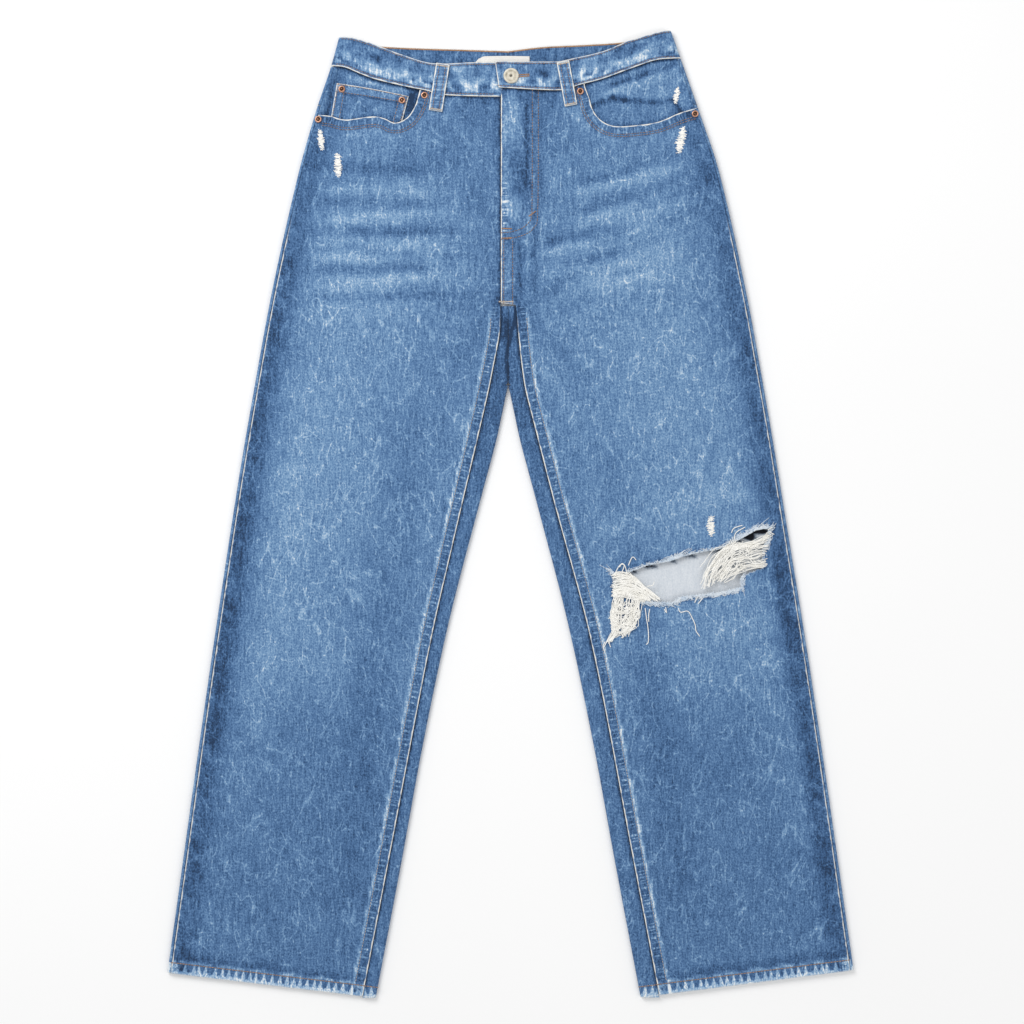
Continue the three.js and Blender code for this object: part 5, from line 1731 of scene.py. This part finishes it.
innerGuides = [
    [[112.5, -65.5], [122, -64], [133, -67], [147, -79], [163.5, -93]],
    [[112.5, -71], [124, -70], [137, -73], [150, -83], [164, -94]],
    [[112, -79], [125, -77], [138, -80], [148, -87], [155, -95]],
    [[112, -86], [124, -85], [136, -88], [145, -92], [150, -95]],
    [[113, -92], [124, -91], [134, -93], [140, -94]],
]
lobeGuides = [
    [[115, -88], [111.5, -104], [110, -116], [112, -126], [109, -139]],
    [[122, -90], [118, -104], [116, -117], [116, -127], [106, -141]],
    [[130, -91], [127, -104], [124, -117], [122, -129], [113, -137]],
    [[138, -92], [138, -104], [134, -117], [129, -127], [126, -135]],
    [[141, -94], [141.5, -105], [139, -117], [136, -125], [128, -133]],
]
crossGuides = [
    [[114, -96], [122, -101], [131, -98], [139, -101]], [[112, -108], [121, -112], [130, -108], [140, -112]],
    [[111, -120], [120, -124], [128, -120], [137, -123]],
    [[113, -129], [119, -131], [125, -130], [129, -132]],
]
outerGuides = [
    [[284, -20], [276, -27.5], [263, -32], [246, -32.5], [230, -36.5], [218, -48], [205, -68]],
    [[285, -24], [270, -30], [252, -34], [237, -38], [226, -49], [216, -66], [211, -84]],
    [[281, -35], [262, -38], [246, -42], [234, -52], [226, -66], [222, -76]],
    [[280, -47], [262, -50], [248, -54], [238, -62], [229, -72]],
    [[280, -58], [262, -60], [251, -64], [243, -71], [236, -76]],
]
outerCross = [
    [[271, -31], [266, -38], [268, -48], [274, -58]], [[256, -33], [250, -41], [252, -50], [262, -60]],
    [[240, -30], [234, -42], [236, -54], [246, -66]],
]
looseThreads = [
    [[148, -103], [149.5, -114], [151.5, -128], [151.5, -140], [149, -143]],
    [[153, -104], [152, -110], [152, -118]],
    [[184.5, -103], [187, -107.5], [195, -106.5], [200, -114.5], [203, -121.5], [204, -128], [208, -134]],
    [[170.5, -102], [171.5, -108], [169, -104]],
    [[206, -90], [202.5, -97]], [[210.5, -93], [206.5, -98]],
    [[114, -67], [120, -56], [125, -56], [122, -65]], [[128, -66], [126, -57], [122.5, -54], [120, -58]],
    [[129.5, -56], [134, -47], [138, -50]], [[150, -79], [156, -78], [158, -74]],
    [[243, -20], [246, -15], [255, -12]], [[246, -28], [248, -20], [258, -14]],
    [[284, -19], [290, -22]], [[283, -17], [288, -14]],
    [[104, -140], [102, -145], [104, -152]], [[108, -140], [110, -146]],
    [[112, -138], [106, -140], [103, -146]],
]


def asThread(points):
    path = curveThrough(points, 6)
    z = faceBase(path[:, 0], path[:, 1]) + 1.5 + 0.3 * np.sin(np.arange(len(path)))
    return np.column_stack([path, z])


def tubes(name, paths, radius, sides, thread):
    return alongPaths(name, paths, threads, {"Radius": radius * mm, "Sides": sides, "Thread": thread})


innerPaths = guided(innerGuides, 120, 22, 1.1, (0.7, 2.4), (0.8, 1.0))
innerPaths += guided(lobeGuides, 96, 22, 1.5, (0.7, 2.2), (0.5, 1.0))
innerPaths += guided(crossGuides, 52, 14, 1.7, (1.4, 2.4), (0.35, 0.9))
outerPaths = guided(outerGuides, 92, 24, 1.8, (0.6, 2.4), (0.4, 1.0))
outerPaths += guided(outerCross, 34, 14, 2.2, (1.2, 2.6), (0.25, 0.7))
innerPiece = tubes("threads_inner", innerPaths, threadStyle["bare"], 5, whiteThread)
declare(innerPiece, ["tear_threads_inner"])
outerPiece = tubes("threads_outer", outerPaths, threadStyle["bare"], 5, whiteThread)
declare(outerPiece, ["tear_threads_outer"])
loosePaths = [asThread(points) for points in looseThreads]
loosePiece = tubes("threads_loose", loosePaths, threadStyle["loose"], 6, whiteThread)
declare(loosePiece)


def fringe(path, perMillimetre, length, outward, curl):
    # Short hairs that stand off an edge onto the cloth beside it.
    path = evenPath(path, 1.0)
    tangent = np.gradient(path, axis=0)
    tangent /= np.hypot(*tangent.T)[:, None]
    hairs = []
    for _ in range(int(len(path) * perMillimetre)):
        i = random.integers(0, len(path))
        normal = np.array([-tangent[i, 1], tangent[i, 0]]) * outward
        lean = random.normal(0, 0.7)
        direction = normal * math.cos(lean) + tangent[i] * math.sin(lean)
        size = random.uniform(*length)
        bend = tangent[i] * random.normal(0, curl)
        ts = np.linspace(0, 1, 5)[:, None]
        hair = path[i] - direction * 0.6 + direction * size * ts + bend * size * ts ** 2
        arch = 0.7 * np.sin(math.pi * ts[:, 0]) * random.uniform(0.3, 1)
        z = faceBase(hair[:, 0], hair[:, 1]) + 0.25 + arch
        hairs.append(np.column_stack([hair, z]))
    return hairs


# stretch of edge, hairs to the millimetre, their lengths, side of the edge and curl
frayRuns = [
    (tear[:11], 2.0, (1.2, 4.6), 1, 0.9), (tear[7:12], 3.5, (2.5, 7.5), 1, 1.0),
    (tear[3:5], 5.0, (3.0, 7.0), 1, 1.2), (tear[13:20], 4.0, (2.0, 6.0), 1, 0.9),
    (tear[13:20], 1.8, (1.0, 3.2), -1, 0.7),
    (np.array([[110, -60], [118, -68]]), 4, (3, 7), -1, 1),
]
frays = [hair for run in frayRuns for hair in fringe(*run)]
frayPiece = tubes("fray", frays, threadStyle["fray"], 4, frayThread)
declare(frayPiece)

# x, y, width, height, slant of each worn-through patch
abrasions = [(-208.5, 411.8, 6.5, 22, 0.25), (-189.7, 384.3, 8, 26, 0.15), (187.5, 411.8, 9, 29, -0.35),
             (182.8, 461.3, 6.5, 17, -0.25), (220.6, -12.8, 8, 22, 0.0)]
patchPaths = []
for x, y, width, height, slant in abrasions:
    onFacing = y > 445
    for row in np.arange(-height / 2, height / 2, threadStyle["patchPitch"]):
        fullness = math.sqrt(max(0.02, 1 - abs(2 * row / height) ** 1.4))
        reach = width * 0.5 * fullness * random.uniform(0.55, 1.05)
        middle = x - slant * row * 0.5 + random.normal(0, width * 0.12)
        xs = np.linspace(middle - reach, middle + reach, 5)
        ys = y + row + random.normal(0, 0.5) + 0.6 * np.sin(np.linspace(0, 3, 5) + random.uniform(0, 6))
        ground = faceBase(xs, ys) + faceRelief(xs, ys)[0]
        if onFacing:
            ground = faceBase(xs, ys) - facingStyle["left"]["depth"] + facingFields(xs, ys)[0]
        patchPaths.append(np.column_stack([xs, ys, ground + 0.18]))
patchPiece = tubes("abrasions", patchPaths, threadStyle["patch"], 5, whiteThread)
declare(patchPiece)
print("torn knee done")


# floor, light and camera
floorStyle = {"half": 6000, "level": -0.4, "dark": (0.90, 0.90, 0.90), "pale": (0.93, 0.93, 0.93)}
floorMaterial, floorTree = newMaterial("floor")
floorCloud = noise(floorTree, link(floorTree, "ShaderNodeTexCoord").outputs["Object"], 2.0)
floorColour = colourRamp(floorTree, floorCloud, [(0.0, floorStyle["dark"]), (1.0, floorStyle["pale"])])
finishMaterial(floorTree, floorColour, 0.9, fixed={"Specular IOR Level": 0.1})
corners = [(x * floorStyle["half"], y * floorStyle["half"], floorStyle["level"])
           for x, y in ((-1, -1), (1, -1), (1, 1), (-1, 1))]
floor = addObject("floor", corners, [[0, 1, 2], [0, 2, 3]], {}, floorMaterial, False)

lamps = {
    "window": {"place": (-1.3, 1.5, 2.1), "size": 1.5, "power": 46.0},
    "fill": {"place": (1.6, -0.9, 2.4), "size": 2.2, "power": 16.0},
}
for name, lamp in lamps.items():
    data = bpy.data.lights.new(name, "AREA")
    data.size, data.energy = lamp["size"], lamp["power"]
    item = bpy.data.objects.new(name, data)
    item.location = lamp["place"]
    # turned to face the origin
    towardX, towardY, towardZ = -np.array(lamp["place"])
    tilt = math.atan2(math.hypot(towardX, towardY), -towardZ)
    item.rotation_euler = (tilt, 0, math.atan2(towardY, towardX) - math.pi / 2)
    bpy.context.scene.collection.objects.link(item)
world = bpy.data.worlds.new("studio")
world.use_nodes = True
world.node_tree.nodes["Background"].inputs["Color"].default_value = (1.0, 1.0, 1.0, 1.0)
world.node_tree.nodes["Background"].inputs["Strength"].default_value = 0.62
bpy.context.scene.world = world
bpy.context.scene.view_settings.view_transform = "Standard"

cameraStyle = {"lens": 85.0, "sensor": 36.0, "centre": (0.00165, 0.00264), "width": 1.1264, "level": 0.006}
cameraData = bpy.data.cameras.new("camera")
cameraData.lens, cameraData.sensor_width = cameraStyle["lens"], cameraStyle["sensor"]
camera = bpy.data.objects.new("camera", cameraData)
height = cameraStyle["width"] * cameraStyle["lens"] / cameraStyle["sensor"]
camera.location = (*cameraStyle["centre"], cameraStyle["level"] + height)
bpy.context.scene.collection.objects.link(camera)
bpy.context.scene.camera = camera

print("stage set")
